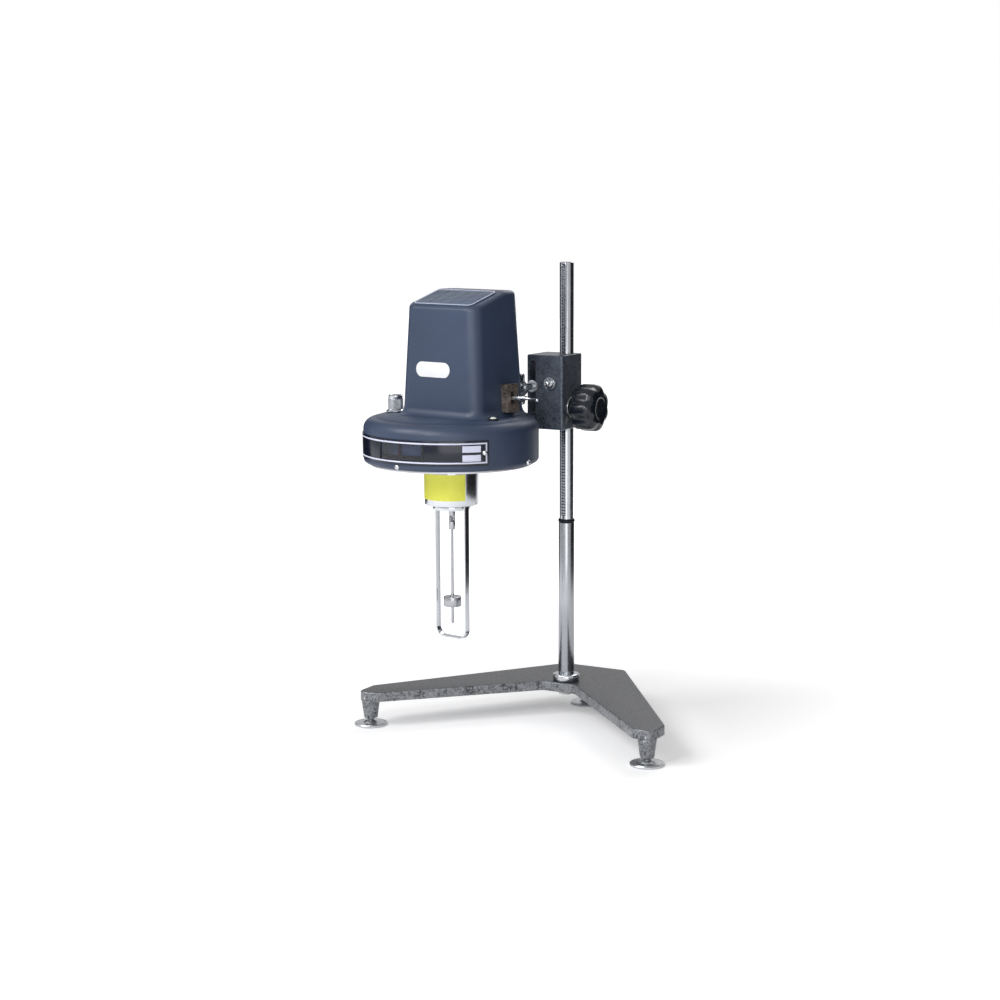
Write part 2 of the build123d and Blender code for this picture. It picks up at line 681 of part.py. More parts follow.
def make_casing():
    outer = revolve(casing_profile(0), Axis.Z)
    inner = revolve(casing_profile(DISC_WALL), Axis.Z)
    step = turned([
        (0, DISC_TOP), (PLATEAU_R, DISC_TOP), (PLATEAU_R - PLATEAU_H, SEAT_Z), (0, SEAT_Z),
    ])
    body = outer + step - inner
    lip_d = 2 * (COVER_R - COVER_LIP_INSET)
    body -= rod(lip_d, DISC_BOTTOM - 1, DISC_BOTTOM + DISC_WALL + 1)
    body -= sector(
        DISC_R + 5, WINDOW_HALF_ANGLE, WINDOW_ANGLE, WINDOW_BOTTOM, WINDOW_TOP
    )
    body += rod(lip_d, DISC_TOP - DISC_WALL, SEAT_Z)
    opening = slab(
        -CASING_OPENING_HALF, CASING_OPENING_HALF, CASING_OPENING_FRONT, CASING_OPENING_REAR,
        DISC_TOP - DISC_WALL - 1, SEAT_Z + 1,
    )
    body -= fillet(opening.edges().filter_by(Axis.Z), CASING_OPENING_R)
    body -= rod(SPEED_SHAFT_D + 2 * FIT, DISC_BOTTOM, SEAT_Z + 5, SPEED_KNOB_X, SPEED_KNOB_Y)
    body -= [place * screw_hole() for place in casing_screw_places()]
    keep("lower_casing", head(body))
    lip = rod(lip_d - 2 * FIT, DISC_BOTTOM, DISC_BOTTOM + COVER_LIP_H)
    plate = rod(2 * COVER_R, COVER_BOTTOM, DISC_BOTTOM) + lip
    plate -= rod(COLLAR_D - 2 * COLLAR_WALL, COVER_BOTTOM - 1, DISC_BOTTOM + DISC_WALL)
    keep("bottom_cover", head(plate))


def make_strip():
    band = ring_sector(
        DISC_R + FIT, DISC_R + STRIP_THICK, STRIP_HALF_ANGLE, 0, STRIP_BOTTOM, STRIP_TOP
    )
    band -= sector(DISC_R + 5, WINDOW_HALF_ANGLE, WINDOW_ANGLE, WINDOW_BOTTOM, WINDOW_TOP)
    band -= [place * screw_hole() for place in casing_screw_places()]
    keep("front_strip", head(band))
    pane = ring_sector(
        DISC_R - WINDOW_THICK, DISC_R, WINDOW_HALF_ANGLE - 0.1, WINDOW_ANGLE,
        WINDOW_BOTTOM + FIT, WINDOW_TOP - FIT,
    )
    keep("dial_window", head(pane))


def tower_section(z, shrink):
    """Rounded outline of the tower at a height, drawn in by the wall thickness."""
    share = (z - SEAT_Z) / (TOWER_TOP - SEAT_Z)
    half = TOWER_HALF_BOTTOM + (TOWER_HALF_TOP - TOWER_HALF_BOTTOM) * share - shrink
    front = TOWER_FRONT_BOTTOM + (TOWER_FRONT_TOP - TOWER_FRONT_BOTTOM) * share + shrink
    rear = TOWER_REAR_BOTTOM + (TOWER_REAR_TOP - TOWER_REAR_BOTTOM) * share - shrink
    outline = RectangleRounded(2 * half, rear - front, TOWER_CORNER_R - shrink)
    return Pos(0, (front + rear) / 2, z) * outline


def tower_solid(shrink, z0):
    """Tapered tower whose top slopes down to the front."""
    body = loft([tower_section(z0, shrink), tower_section(TOWER_TOP, shrink)], ruled=True)
    top = TOWER_TOP - shrink
    knee = TOWER_FRONT_TOP + SLANT_DEPTH
    fall = SLANT_RISE / SLANT_DEPTH
    nose = 60.0
    points = [
        (TOWER_FRONT_TOP - nose, top - SLANT_RISE - nose * fall), (knee, top),
        (TOWER_REAR_BOTTOM + nose, top), (TOWER_REAR_BOTTOM + nose, top + nose),
        (TOWER_FRONT_TOP - nose, top + nose),
    ]
    outline = [Vector(-nose * 2, y, z) for y, z in points]
    cut = extrude(make_face(Polyline(outline, close=True)), nose * 4, dir=(1, 0, 0))
    return body - cut


def wall_plane(side, place, z):
    """Plane on a tower wall with its normal pointing out and its y axis pointing up the wall."""
    share = (z - SEAT_Z) / (TOWER_TOP - SEAT_Z)
    rise = TOWER_TOP - SEAT_Z
    if side == "rear":
        y = TOWER_REAR_BOTTOM + (TOWER_REAR_TOP - TOWER_REAR_BOTTOM) * share
        lean = (TOWER_REAR_BOTTOM - TOWER_REAR_TOP) / rise
        return Plane(origin=(place, y, z), x_dir=(-1, 0, 0), z_dir=(0, 1, lean))
    if side == "front":
        y = TOWER_FRONT_BOTTOM + (TOWER_FRONT_TOP - TOWER_FRONT_BOTTOM) * share
        lean = (TOWER_FRONT_TOP - TOWER_FRONT_BOTTOM) / rise
        return Plane(origin=(place, y, z), x_dir=(1, 0, 0), z_dir=(0, -1, lean))
    x = TOWER_HALF_BOTTOM + (TOWER_HALF_TOP - TOWER_HALF_BOTTOM) * share
    lean = (TOWER_HALF_BOTTOM - TOWER_HALF_TOP) / rise
    return Plane(origin=(x, place, z), x_dir=(0, 1, 0), z_dir=(1, 0, lean))


def table_plane():
    """Plane on the sloping top, at the middle of its front edge, with y pointing up the slope."""
    direction = (0, SLANT_DEPTH, SLANT_RISE)
    normal = (0, -SLANT_RISE, SLANT_DEPTH)
    origin = (0, TOWER_FRONT_TOP, SLANT_FRONT_Z)
    return Plane(origin=origin, x_dir=(1, 0, 0), z_dir=normal), math.hypot(*direction)


def make_tower():
    outer = tower_solid(0, SEAT_Z)
    top_edges = [e for e in outer.edges() if e.center().Z > SLANT_FRONT_Z - 3]
    outer = fillet(top_edges, TOWER_EDGE_R)
    body = outer - tower_solid(TOWER_WALL, SEAT_Z - 1)
    switch_hole = wall_plane("rear", SWITCH_X, SWITCH_Z)
    body -= switch_hole * Box(SWITCH_W, SWITCH_H, 4 * TOWER_WALL)
    inlet_hole = wall_plane("rear", INLET_X, INLET_Z)
    body -= inlet_hole * Box(INLET_W, INLET_H, 4 * TOWER_WALL)
    body -= wall_plane("side", LEVER_Y, LEVER_Z) * Box(LEVER_SLOT_W, LEVER_SLOT_W * 2, 20)
    body -= [place * screw_hole(BRACKET_SCREW_L) for place in bracket_screw_places()]
    keep("tower_cover", head(body))
    plane, length = table_plane()
    width = 2 * (TOWER_HALF_TOP - TABLE_SIDE_INSET)
    depth = length - 2 * TABLE_FRONT_INSET
    sheet = extrude(RectangleRounded(width, depth, TABLE_CORNER_R), TABLE_THICK)
    keep("top_table", head(plane * Pos(0, length / 2, 0) * sheet))
    badge = extrude(RectangleRounded(PLATE_W, PLATE_H, PLATE_H / 2 - 0.01), PLATE_THICK)
    keep("name_plate", head(wall_plane("front", PLATE_X, PLATE_Z) * badge))


def make_speed_knob():
    seat = SEAT_Z + LOOSE
    grip = fluted(SPEED_KNOB_D, SPEED_KNOB_H, SPEED_FLUTES, 0.6)
    grip = Pos(0, 0, seat + SPEED_SKIRT_H) * grip
    skirt = turned([
        (0, seat), (SPEED_SKIRT_D / 2, seat), (SPEED_SKIRT_D / 2, seat + 1),
        (SPEED_KNOB_D / 2, seat + SPEED_SKIRT_H), (0, seat + SPEED_SKIRT_H),
    ])
    body = grip + skirt - rod(SPEED_SHAFT_D + 2 * FIT, seat - 1, seat + SPEED_KNOB_H)
    keep("speed_knob", head(Pos(SPEED_KNOB_X, SPEED_KNOB_Y, 0) * body))
    shaft = rod(SPEED_SHAFT_D, DISC_TOP - 12, seat + SPEED_KNOB_H - LOOSE)
    lobe = rod(10, DISC_TOP - 12, DISC_TOP - 6, 3)
    keep("speed_shaft", head(Pos(SPEED_KNOB_X, SPEED_KNOB_Y, 0) * (shaft + lobe)))


def make_bubble_level():
    """Round spirit level: a short case with a domed glass."""
    rim = LEVEL_LENS_D / 2
    top = SEAT_Z + LEVEL_H
    body = turned([
        (0, SEAT_Z), (LEVEL_D / 2, SEAT_Z), (LEVEL_D / 2, top - 0.5), (LEVEL_D / 2 - 0.5, top),
        (rim, top), (rim * 0.86, top + LEVEL_DOME_H * 0.5),
        (rim * 0.5, top + LEVEL_DOME_H * 0.88), (0, top + LEVEL_DOME_H),
    ])
    keep("bubble_level", head(Pos(LEVEL_X, LEVEL_Y, 0) * body))


def make_pointer_lever():
    plane = wall_plane("side", LEVER_Y, LEVER_Z)
    block = Box(LEVER_BLOCK_W, LEVER_BLOCK_H, LEVER_BLOCK_T)
    block = fillet(block.edges().filter_by(Axis.Z), 1.5)
    block = Pos(0, 0, LEVER_BLOCK_T / 2) * block
    block -= Box(LEVER_SLOT_W, LEVER_SLOT_W * 2, 3 * LEVER_BLOCK_T)
    middle = LEVER_BLOCK_T / 2
    pin = Pos(0, 0, middle) * Rot(0, 90, 0) * Cylinder(LEVER_PIN_D / 2, LEVER_BLOCK_W)
    hole = Pos(0, 0, middle) * Rot(0, 90, 0) * Cylinder(LEVER_PIN_D / 2 + FIT, 2 * LEVER_BLOCK_W)
    keep("lever_bracket", head(plane * (block - hole)))
    keep("lever_pin", head(plane * pin))
    hub_end = LEVER_BLOCK_T + 1 + LEVER_HUB_L
    arm = rod(LEVER_HUB_D, -4, hub_end)
    arm += rod(LEVER_COLLAR_D, hub_end, hub_end + LEVER_COLLAR_L)
    rod_end = hub_end + LEVER_COLLAR_L + LEVER_ROD_L
    tilted = rod(LEVER_ROD_D, -1, LEVER_ROD_L) + Pos(0, 0, LEVER_ROD_L) * Sphere(LEVER_ROD_D * 0.62)
    arm += Pos(0, 0, rod_end - LEVER_ROD_L) * Rot(LEVER_SWING, 0, 0) * tilted
    keep("pointer_lever", head(plane * (arm - hole)))


def make_head_bracket():
    """Plate on the tower's rear wall with a boss that turns on the mounting stud."""
    plate = Box(REAR_PLATE_W, REAR_PLATE_H, REAR_PLATE_T)
    plate = fillet(plate.edges().filter_by(Axis.Z), 4)
    body = head(bracket_plane() * Pos(0, 0, REAR_PLATE_T / 2) * plate)
    boss = rod_y(REAR_BOSS_D, REAR_BOSS_Y - 14, REAR_BOSS_Y, SLOT_X, STUD_MOUNT_Z)
    body += boss - head(tower_solid(-FIT, SEAT_Z))
    body -= rod_y(
        MOUNT_STUD_D + 2 * FIT, REAR_BOSS_Y - REAR_BOSS_DEPTH - FIT, REAR_BOSS_Y + 1,
        SLOT_X, STUD_MOUNT_Z,
    )
    body -= [head(place * screw_hole(BRACKET_SCREW_L)) for place in bracket_screw_places()]
    keep("head_bracket", body)


def make_rear_fittings():
    plane = wall_plane("rear", SWITCH_X, SWITCH_Z)
    bezel = Pos(0, 0, 0.9) * Box(SWITCH_W + 2 * SWITCH_RIM, SWITCH_H + 2 * SWITCH_RIM, 1.8)
    bezel = fillet(bezel.edges().filter_by(Axis.Z), 1.2)
    frame = bezel + Pos(0, 0, -5) * Box(SWITCH_W - 2 * FIT, SWITCH_H - 2 * FIT, 10)
    frame -= Pos(0, 0, -2) * Box(SWITCH_W - 2 * SWITCH_RIM, SWITCH_H - 2 * SWITCH_RIM, 12)
    keep("switch_frame", head(plane * frame))
    half = SWITCH_H / 2 - SWITCH_RIM - ROCKER_END_GAP
    profile = Polyline(
        (-half, 3.4), (0, 1.6), (half, 0.4), (half * 0.6, -4), (-half * 0.6, -4), close=True
    )
    width = SWITCH_W / 2 - SWITCH_RIM - ROCKER_SIDE_GAP
    rocker = extrude(Plane.YZ * make_face(profile), width, both=True)
    keep("switch_rocker", head(plane * rocker))
    plane = wall_plane("rear", INLET_X, INLET_Z)
    shell = Pos(0, 0, 1) * Box(INLET_W + 2 * INLET_BEZEL, INLET_H + 2 * INLET_BEZEL, 2)
    shell = fillet(shell.edges().filter_by(Axis.Z), 2)
    shell += Pos(0, 0, -INLET_DEPTH / 2) * Box(INLET_W - 2 * FIT, INLET_H - 2 * FIT, INLET_DEPTH)
    cavity = extrude(RectangleRounded(INLET_W - 4, INLET_H - 4, 2.5), INLET_DEPTH)
    shell -= Pos(0, 0, INLET_FLOOR - INLET_DEPTH) * cavity
    step = INLET_PIN_SPACING
    for x, y in ((-step, -1.5), (0, 2.5), (step, -1.5)):
        middle = INLET_FLOOR - INLET_DEPTH + INLET_PIN_L / 2
        shell += Pos(x, y, middle) * Box(2, 4, INLET_PIN_L)
    keep("power_inlet", head(plane * shell))


def make_head_screws():
    screws = [place * screw() for place in casing_screw_places()]
    screws += [place * screw(BRACKET_SCREW_L) for place in bracket_screw_places()]
    keep("head_screws", group([head(one) for one in screws]))


def drive_centres():
    """Plan places of the motor, the cluster gear and the output gear."""
    upper = GEAR_MODULE * (MOTOR_TEETH + CLUSTER_TEETH) / 2 + FIT
    lower = GEAR_MODULE * (CLUSTER_PINION_TEETH + OUTPUT_TEETH) / 2 + FIT
    along = (lower ** 2 - upper ** 2 + MOTOR_Y ** 2) / (2 * MOTOR_Y)
    across = math.sqrt(lower ** 2 - along ** 2)
    return (0.0, MOTOR_Y), (-across, along)


def make_drive():
    (motor_x, motor_y), (mid_x, mid_y) = drive_centres()
    to_mid = math.degrees(math.atan2(mid_y - motor_y, mid_x - motor_x))
    to_out = math.degrees(math.atan2(-mid_y, -mid_x))
    pinion = gear(MOTOR_TEETH, GEAR_MODULE, GEAR_W, UPPER_MESH_Z, to_mid, True)
    pinion += rod(MOTOR_SHAFT_D, UPPER_MESH_Z, MOTOR_PLATE_Z + PLATE_T)
    keep("motor_pinion", head(Pos(motor_x, motor_y, 0) * pinion))
    can = rod(MOTOR_D, MOTOR_PLATE_Z + PLATE_T, MOTOR_PLATE_Z + PLATE_T + MOTOR_H)
    can = fillet(can.edges().sort_by(Axis.Z)[-1], 3)
    keep("motor", head(Pos(motor_x, motor_y, 0) * can))
    wheel = gear(CLUSTER_TEETH, GEAR_MODULE, GEAR_W - 1, UPPER_MESH_Z + 0.5, to_mid + 180, False)
    small = gear(CLUSTER_PINION_TEETH, GEAR_MODULE, 12, LOWER_MESH_Z, to_out, True)
    arbor = rod(ARBOR_D, GEAR_PLATE_Z, MOTOR_PLATE_Z + PLATE_T)
    keep("cluster_gear", head(Pos(mid_x, mid_y, 0) * (wheel + small + arbor)))
    output = gear(OUTPUT_TEETH, GEAR_MODULE, GEAR_W, LOWER_MESH_Z, to_out + 180, False)
    output += rod(DRIVE_D, DIAL_TOP, LOWER_MESH_Z + GEAR_W + 2)
    output -= rod(POINTER_SHAFT_D + 4 * FIT, DIAL_TOP - 1, LOWER_MESH_Z + GEAR_W + 3)
    keep("output_gear", head(output))


def make_plates():
    lower = tower_section(GEAR_PLATE_Z, TOWER_WALL + PLATE_MARGIN)
    lower = extrude(lower, PLATE_T)
    bush_hole = rod(BUSH_OUTER_D, GEAR_PLATE_Z - 1, GEAR_PLATE_Z + PLATE_T + 1)
    (motor_x, motor_y), (mid_x, mid_y) = drive_centres()
    arbor_hole = rod(ARBOR_D + 2 * FIT, GEAR_PLATE_Z - 1, MOTOR_PLATE_Z + PLATE_T + 1, mid_x, mid_y)
    keep("gear_plate", head(lower - bush_hole - arbor_hole))
    upper = extrude(tower_section(MOTOR_PLATE_Z, TOWER_WALL + PLATE_MARGIN), PLATE_T)
    upper -= rod(MOTOR_SHAFT_D + 3, MOTOR_PLATE_Z - 1, MOTOR_PLATE_Z + PLATE_T + 1, motor_x, motor_y)
    keep("motor_plate", head(upper - arbor_hole))
    half = TOWER_HALF_TOP - TOWER_WALL - PILLAR_INSET
    front = TOWER_FRONT_TOP + TOWER_WALL + PILLAR_INSET
    rear = TOWER_REAR_TOP - TOWER_WALL - PILLAR_INSET
    posts = []
    for x in (-half, half):
        for y in (front, rear):
            posts.append(rod(PILLAR_D, SEAT_Z, GEAR_PLATE_Z, x, y))
            posts.append(rod(PILLAR_D, GEAR_PLATE_Z + PLATE_T, MOTOR_PLATE_Z, x, y))
    keep("plate_pillars", group([head(post) for post in posts]))


def make_shaft_bushes():
    """Bronze bushes of the drive tube in the gear plate and of the pointer shaft in the collar."""
    low, high = GEAR_PLATE_Z - BUSH_STAND, GEAR_PLATE_Z + PLATE_T + BUSH_STAND
    upper = rod(BUSH_OUTER_D - 2 * FIT, low, high) - rod(DRIVE_D + 2 * FIT, low - 1, high + 1)
    low, high = COLLAR_BOTTOM, COLLAR_BOTTOM + COLLAR_FLOOR + BUSH_STAND
    lower = rod(BUSH_OUTER_D - 2 * FIT, low, high)
    lower -= rod(POINTER_SHAFT_D + 2 * FIT, low - 1, high + 1)
    keep("shaft_bushes", group([head(upper), head(lower)]))


def make_dial():
    inner = DIAL_R - DIAL_T
    cup = turned([
        (DRIVE_D / 2, DIAL_TOP - DIAL_T), (inner, DIAL_TOP - DIAL_T),
        (inner, DIAL_TOP - DIAL_RIM_H), (DIAL_R, DIAL_TOP - DIAL_RIM_H),
        (DIAL_R, DIAL_TOP), (DRIVE_D / 2, DIAL_TOP),
    ])
    cup += rod(DIAL_HUB_D, DIAL_TOP - DIAL_HUB_H, DIAL_TOP)
    cup -= rod(POINTER_SHAFT_D + 4 * FIT, DIAL_TOP - 10, DIAL_TOP + 1)
    keep("dial", head(cup))


def make_pointer():
    """Shaft, pointer that hooks under the dial's rim and up its face, and the hairspring."""
    shaft_bottom = COUPLING_Z + COUPLING_EAR + COUPLING_FLOOR
    shaft = rod(POINTER_SHAFT_D, shaft_bottom, LOWER_MESH_Z + GEAR_W + 5)
    keep("pointer_shaft", head(shaft))
    hub_top = DIAL_TOP - DIAL_HUB_H - SPRING_H - 2 * POINTER_GAP / 3
    arm_z = DIAL_TOP - DIAL_RIM_H - POINTER_GAP
    reach = DIAL_R + POINTER_GAP
    half = POINTER_W / 2
    arm = rod(POINTER_HUB_D, arm_z, hub_top)
    arm += rod(2 * SPRING_INNER_R, hub_top, DIAL_TOP - DIAL_HUB_H - LOOSE)
    arm += slab(-half, half, -reach, 0, arm_z, arm_z + POINTER_T)
    arm += slab(-half, half, -reach, -reach + POINTER_T, arm_z, DIAL_TOP - 1)
    arm -= rod(POINTER_SHAFT_D + 2 * FIT, arm_z - 1, DIAL_TOP)
    keep("pointer", head(arm))
    edges = ([], [])
    for i in range(16 * SPRING_TURNS + 1):
        angle = 2 * math.pi * i / 16
        radius = SPRING_INNER_R + LOOSE + SPRING_PITCH * i / 16
        for side in (0, 1):
            r = radius + SPRING_T * side
            edges[side].append(Vector(r * math.cos(angle), r * math.sin(angle), hub_top + LOOSE))
    face = make_face(Polyline(edges[0] + edges[1][::-1], close=True))
    keep("hairspring", head(extrude(face, SPRING_H, dir=(0, 0, 1))))


def make_collar():
    tube = rod(COLLAR_D, COLLAR_BOTTOM, COVER_BOTTOM)
    tube = chamfer(tube.edges().sort_by(Axis.Z)[0], 0.8)
    tube -= rod(COLLAR_D - 2 * COLLAR_WALL, COLLAR_BOTTOM + COLLAR_FLOOR, COVER_BOTTOM + 1)
    tube -= rod(BUSH_OUTER_D, COLLAR_BOTTOM - 1, COLLAR_BOTTOM + COLLAR_FLOOR + 1)
    keep("collar", head(tube))
    label = ring_sector(
        COLLAR_D / 2 + LABEL_GAP, COLLAR_D / 2 + LABEL_THICK, LABEL_HALF_ANGLE, LABEL_ANGLE,
        LABEL_BOTTOM, LABEL_TOP,
    )
    keep("collar_label", head(label))


def strap_outline(half, bottom, top, bend):
    """Face between two legs and their rounded bottom, in the XZ plane."""
    points = [(-half, top), (-half, bottom), (half, bottom), (half, top)]
    face = make_face(Polyline([Vector(x, 0, z) for x, z in points], close=True))
    corners = face.vertices().sort_by(Axis.Z)[:2]
    return fillet(corners, bend)


def make_guard():
    """Bent strap with its welded ring under the collar."""
    half = GUARD_SPACING / 2
    outer = strap_outline(half, GUARD_BOTTOM, COLLAR_BOTTOM, GUARD_BEND_R)
    inner = strap_outline(
        half - GUARD_T, GUARD_BOTTOM + GUARD_T, COLLAR_BOTTOM, GUARD_BEND_R - GUARD_T
    )
    strap = extrude(outer, GUARD_W / 2, both=True) - extrude(inner, GUARD_W, both=True)
    ring_bottom = COLLAR_BOTTOM - GUARD_RING_H
    ring = rod(GUARD_SPACING - GUARD_T, ring_bottom, COLLAR_BOTTOM)
    ring -= rod(GUARD_RING_BORE, ring_bottom - 1, COLLAR_BOTTOM + 1)
    keep("guard", head(strap + ring))


def make_coupling():
    """Hooke's joint between the pointer's shaft and the spindle: two forks and a cross."""
    z = COUPLING_Z
    top = z + COUPLING_EAR + COUPLING_SOCKET
    bottom = z - COUPLING_EAR - COUPLING_NUT_L
    gap = COUPLING_SLOT / 2
    wide = COUPLING_D
    ear_half = gap - COUPLING_EAR_GAP
    ears = rod(COUPLING_D, z - COUPLING_PIN_D, z + COUPLING_EAR) & (
        slab(-wide, -gap, -ear_half, ear_half, z - COUPLING_PIN_D, z + COUPLING_EAR)
        + slab(gap, wide, -ear_half, ear_half, z - COUPLING_PIN_D, z + COUPLING_EAR)
    )
    upper = rod(COUPLING_D, z + COUPLING_EAR, top) + ears
    upper -= rod_x(COUPLING_PIN_D + 2 * FIT, -wide, wide, 0, z)
    upper -= rod(POINTER_SHAFT_D + 2 * FIT, z + COUPLING_EAR + COUPLING_FLOOR, top + 1)
    keep("coupling_upper", head(upper))
    cross = Pos(0, 0, z) * Box(COUPLING_CROSS, COUPLING_CROSS, COUPLING_CROSS)
    pin_half = COUPLING_D / 2 - 0.2
    cross += rod_x(COUPLING_PIN_D, -pin_half, pin_half, 0, z)
    cross += rod_y(COUPLING_PIN_D, -pin_half, pin_half, 0, z)
    keep("coupling_cross", head(cross))
    flipped = rod(COUPLING_D, z - COUPLING_EAR, z + COUPLING_PIN_D) & (
        slab(-ear_half, ear_half, -wide, -gap, z - COUPLING_EAR, z + COUPLING_PIN_D)
        + slab(-ear_half, ear_half, gap, wide, z - COUPLING_EAR, z + COUPLING_PIN_D)
    )
    lower = rod(COUPLING_D, bottom, z - COUPLING_EAR) + flipped
    lower -= rod_y(COUPLING_PIN_D + 2 * FIT, -wide, wide, 0, z)
    lower -= rod(SPINDLE_D + 2 * FIT, bottom - 1, z - COUPLING_EAR - COUPLING_FLOOR)
    keep("coupling_lower", head(lower))


def make_spindle():
    """One turned piece: shaft, cylindrical rotor and the tip below it."""
    top = COUPLING_Z - COUPLING_EAR - COUPLING_FLOOR - LOOSE
    r = SPINDLE_D / 2
    rotor_r = ROTOR_D / 2
    rotor_bottom = ROTOR_TOP - ROTOR_H
    shaft = turned([
        (0, SPINDLE_TIP), (r * 0.5, SPINDLE_TIP), (r, SPINDLE_TIP + r), (r, rotor_bottom),
        (rotor_r - 0.4, rotor_bottom), (rotor_r, rotor_bottom + 0.4), (rotor_r, ROTOR_TOP - 0.4),
        (rotor_r - 0.4, ROTOR_TOP), (r + 1.2, ROTOR_TOP), (r, ROTOR_TOP + 2.5),
        (r, top), (0, top),
    ])
    keep("spindle", head(shaft))


def export_parts():
    os.makedirs("parts", exist_ok=True)
    for name, shape in PARTS.items():
        export_step(shape, os.path.join("parts", name + ".step"))


for make in (
    make_base, make_feet, make_column, make_rack, make_slider_block, make_pinion, make_lift_knob,
    make_brake, make_clamp, make_casing, make_strip, make_tower, make_speed_knob,
    make_bubble_level, make_pointer_lever, make_head_bracket, make_rear_fittings,
    make_head_screws, make_drive, make_plates, make_shaft_bushes, make_dial, make_pointer,
    make_collar, make_guard, make_coupling, make_spindle,
):
    make()
export_parts()
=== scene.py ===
import json
import math

import bmesh
import bpy
from bpy.props import FloatProperty, FloatVectorProperty, IntProperty, PointerProperty
from mathutils import Matrix, Vector


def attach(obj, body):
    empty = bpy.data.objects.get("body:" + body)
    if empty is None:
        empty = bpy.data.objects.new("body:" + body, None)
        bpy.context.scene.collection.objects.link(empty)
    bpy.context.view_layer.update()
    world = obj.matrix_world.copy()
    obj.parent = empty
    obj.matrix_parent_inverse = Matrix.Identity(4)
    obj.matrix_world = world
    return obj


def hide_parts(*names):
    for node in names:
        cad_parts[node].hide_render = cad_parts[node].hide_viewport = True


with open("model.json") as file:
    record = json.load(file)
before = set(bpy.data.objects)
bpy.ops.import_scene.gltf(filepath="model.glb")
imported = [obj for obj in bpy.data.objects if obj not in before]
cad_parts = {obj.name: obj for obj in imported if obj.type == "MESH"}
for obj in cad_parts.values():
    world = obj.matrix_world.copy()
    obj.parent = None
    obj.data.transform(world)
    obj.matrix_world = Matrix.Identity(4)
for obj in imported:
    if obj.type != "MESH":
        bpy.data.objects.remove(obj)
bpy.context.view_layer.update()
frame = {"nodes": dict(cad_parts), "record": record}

bl_info = {
    "name": "Rotational viscometer looks",
    "version": (1, 0, 0),
    "blender": (4, 5, 0),
    "location": "View3D > Sidebar > Viscometer",
    "description": "Dresses the CAD frame of a dial viscometer on a rack stand",
    "category": "Object",
}

MM = 0.001
STAND = Matrix.Translation((0.0, 0.0695, 0.0))
HEAD = Matrix.Translation((-0.072, -0.0485, 0.0)) @ Matrix.Rotation(math.radians(-10), 4, "Z")
FOOT_SPOTS = {"left": (-162, -138), "right": (162, -138), "rear": (0, 48)}

# the head in its own frame, whose Z axis is the spindle's; millimetres and degrees
DISC_RADIUS, DISC_TOP = 90.0, 333.4
TOWER_HALF, TOWER_FRONT, TOWER_REAR, TOWER_CORNER = 53.0, -22.0, 60.0, 14.0
TOWER_RISE, SIDE_LEAN, REAR_LEAN = 126.6, 7.0, 4.0
REAR_MIDDLE = 358.0
REAR_WALL = TOWER_REAR - REAR_LEAN * (REAR_MIDDLE - DISC_TOP) / TOWER_RISE
FILM_RADIUS, PRINT_RADIUS, PRINT_THICK = 91.0, 91.02, 0.12
OUTLINE_HALF, OUTLINE_LOW, OUTLINE_HIGH = 63.6, 294.7, 315.3
DIAL_RADIUS, DIAL_TOP = 76.0, 312.0
EVEN = (1, 1, 1)


def linear(code):
    """Linear red, green and blue of an sRGB hex colour."""
    values = [int(code[i:i + 2], 16) / 255 for i in (1, 3, 5)]
    return tuple(v / 12.92 if v <= 0.04045 else ((v + 0.055) / 1.055) ** 2.4 for v in values)


def colour(name, code, text):
    return FloatVectorProperty(
        name=name, description=text, default=linear(code), subtype="COLOR", size=3, min=0, max=1
    )


def length(name, value, text):
    """A size in metres, given here in millimetres."""
    return FloatProperty(
        name=name, description=text, default=value * MM, min=0.0, subtype="DISTANCE", unit="LENGTH"
    )


def count(name, value, text):
    return IntProperty(name=name, description=text, default=value, min=3)


class ViscometerColours(bpy.types.PropertyGroup):
    casing: colour("Casing enamel", "#36435B", "Slate blue stoving enamel of the head")
    strip: colour("Strip film", "#0E1526", "Dark printed film round the front")
    outline: colour("Outline", "#DDE0F5", "Pale lines and fields of the film")
    hammer_light: colour("Hammertone light", "#5F6875", "Raised cells of the hammertone enamel")
    hammer_dark: colour("Hammertone dark", "#2C343F", "Seams of the hammertone enamel")
    base_light: colour("Base light", "#9A9DA2", "Raised cells on the cast base")
    base_dark: colour("Base dark", "#3E4045", "Seams on the cast base")
    knob: colour("Knob", "#161C26", "Black phenolic moulding of the lifting knob")
    label: colour("Collar label", "#FFFF62", "Bare yellow film on the collar")
    plate: colour("Name plate", "#F2F3F6", "Bare white plate on the tower")


class ViscometerSizes(bpy.types.PropertyGroup):
    screw_radius: length("Screw head radius", 2.7, "Radius of the domed screw heads")
    screw_rise: length("Screw head height", 2.0, "Height of the domed screw heads")
    screw_slot: length("Screw slot", 0.7, "Width of the slot in a screw head")
    thread_pitch: length("Foot thread pitch", 1.25, "Pitch of the levelling studs")
    outline_width: length("Outline width", 1.5, "Width of the pale line round the film")
    knob_radius: length("Lifting knob radius", 25.0, "Radius over the lobes")
    knob_depth: length("Lobe depth", 2.6, "How far the hollows between the lobes go in")
    knob_lobes: count("Lobes", 7, "Lobes of the lifting knob")
    nut_ribs: count("Clamp nut ribs", 44, "Ribs round the clamp nut")
    speed_ribs: count("Speed knob ribs", 40, "Ribs round the speed knob")
    brake_ribs: count("Brake screw ribs", 36, "Ribs round the brake screw's head")
    dial_marks: count("Dial marks", 100, "Fine marks on the dial")


def at(x, y, z):
    """Translation given in millimetres."""
    return Matrix.Translation(Vector((x, y, z)) * MM)


def turned(degrees, axis):
    return Matrix.Rotation(math.radians(degrees), 4, axis)


def outward(degrees):
    """Level direction at an angle counted from the front towards the right."""
    way = math.radians(degrees)
    return Vector((math.sin(way), -math.cos(way), 0))


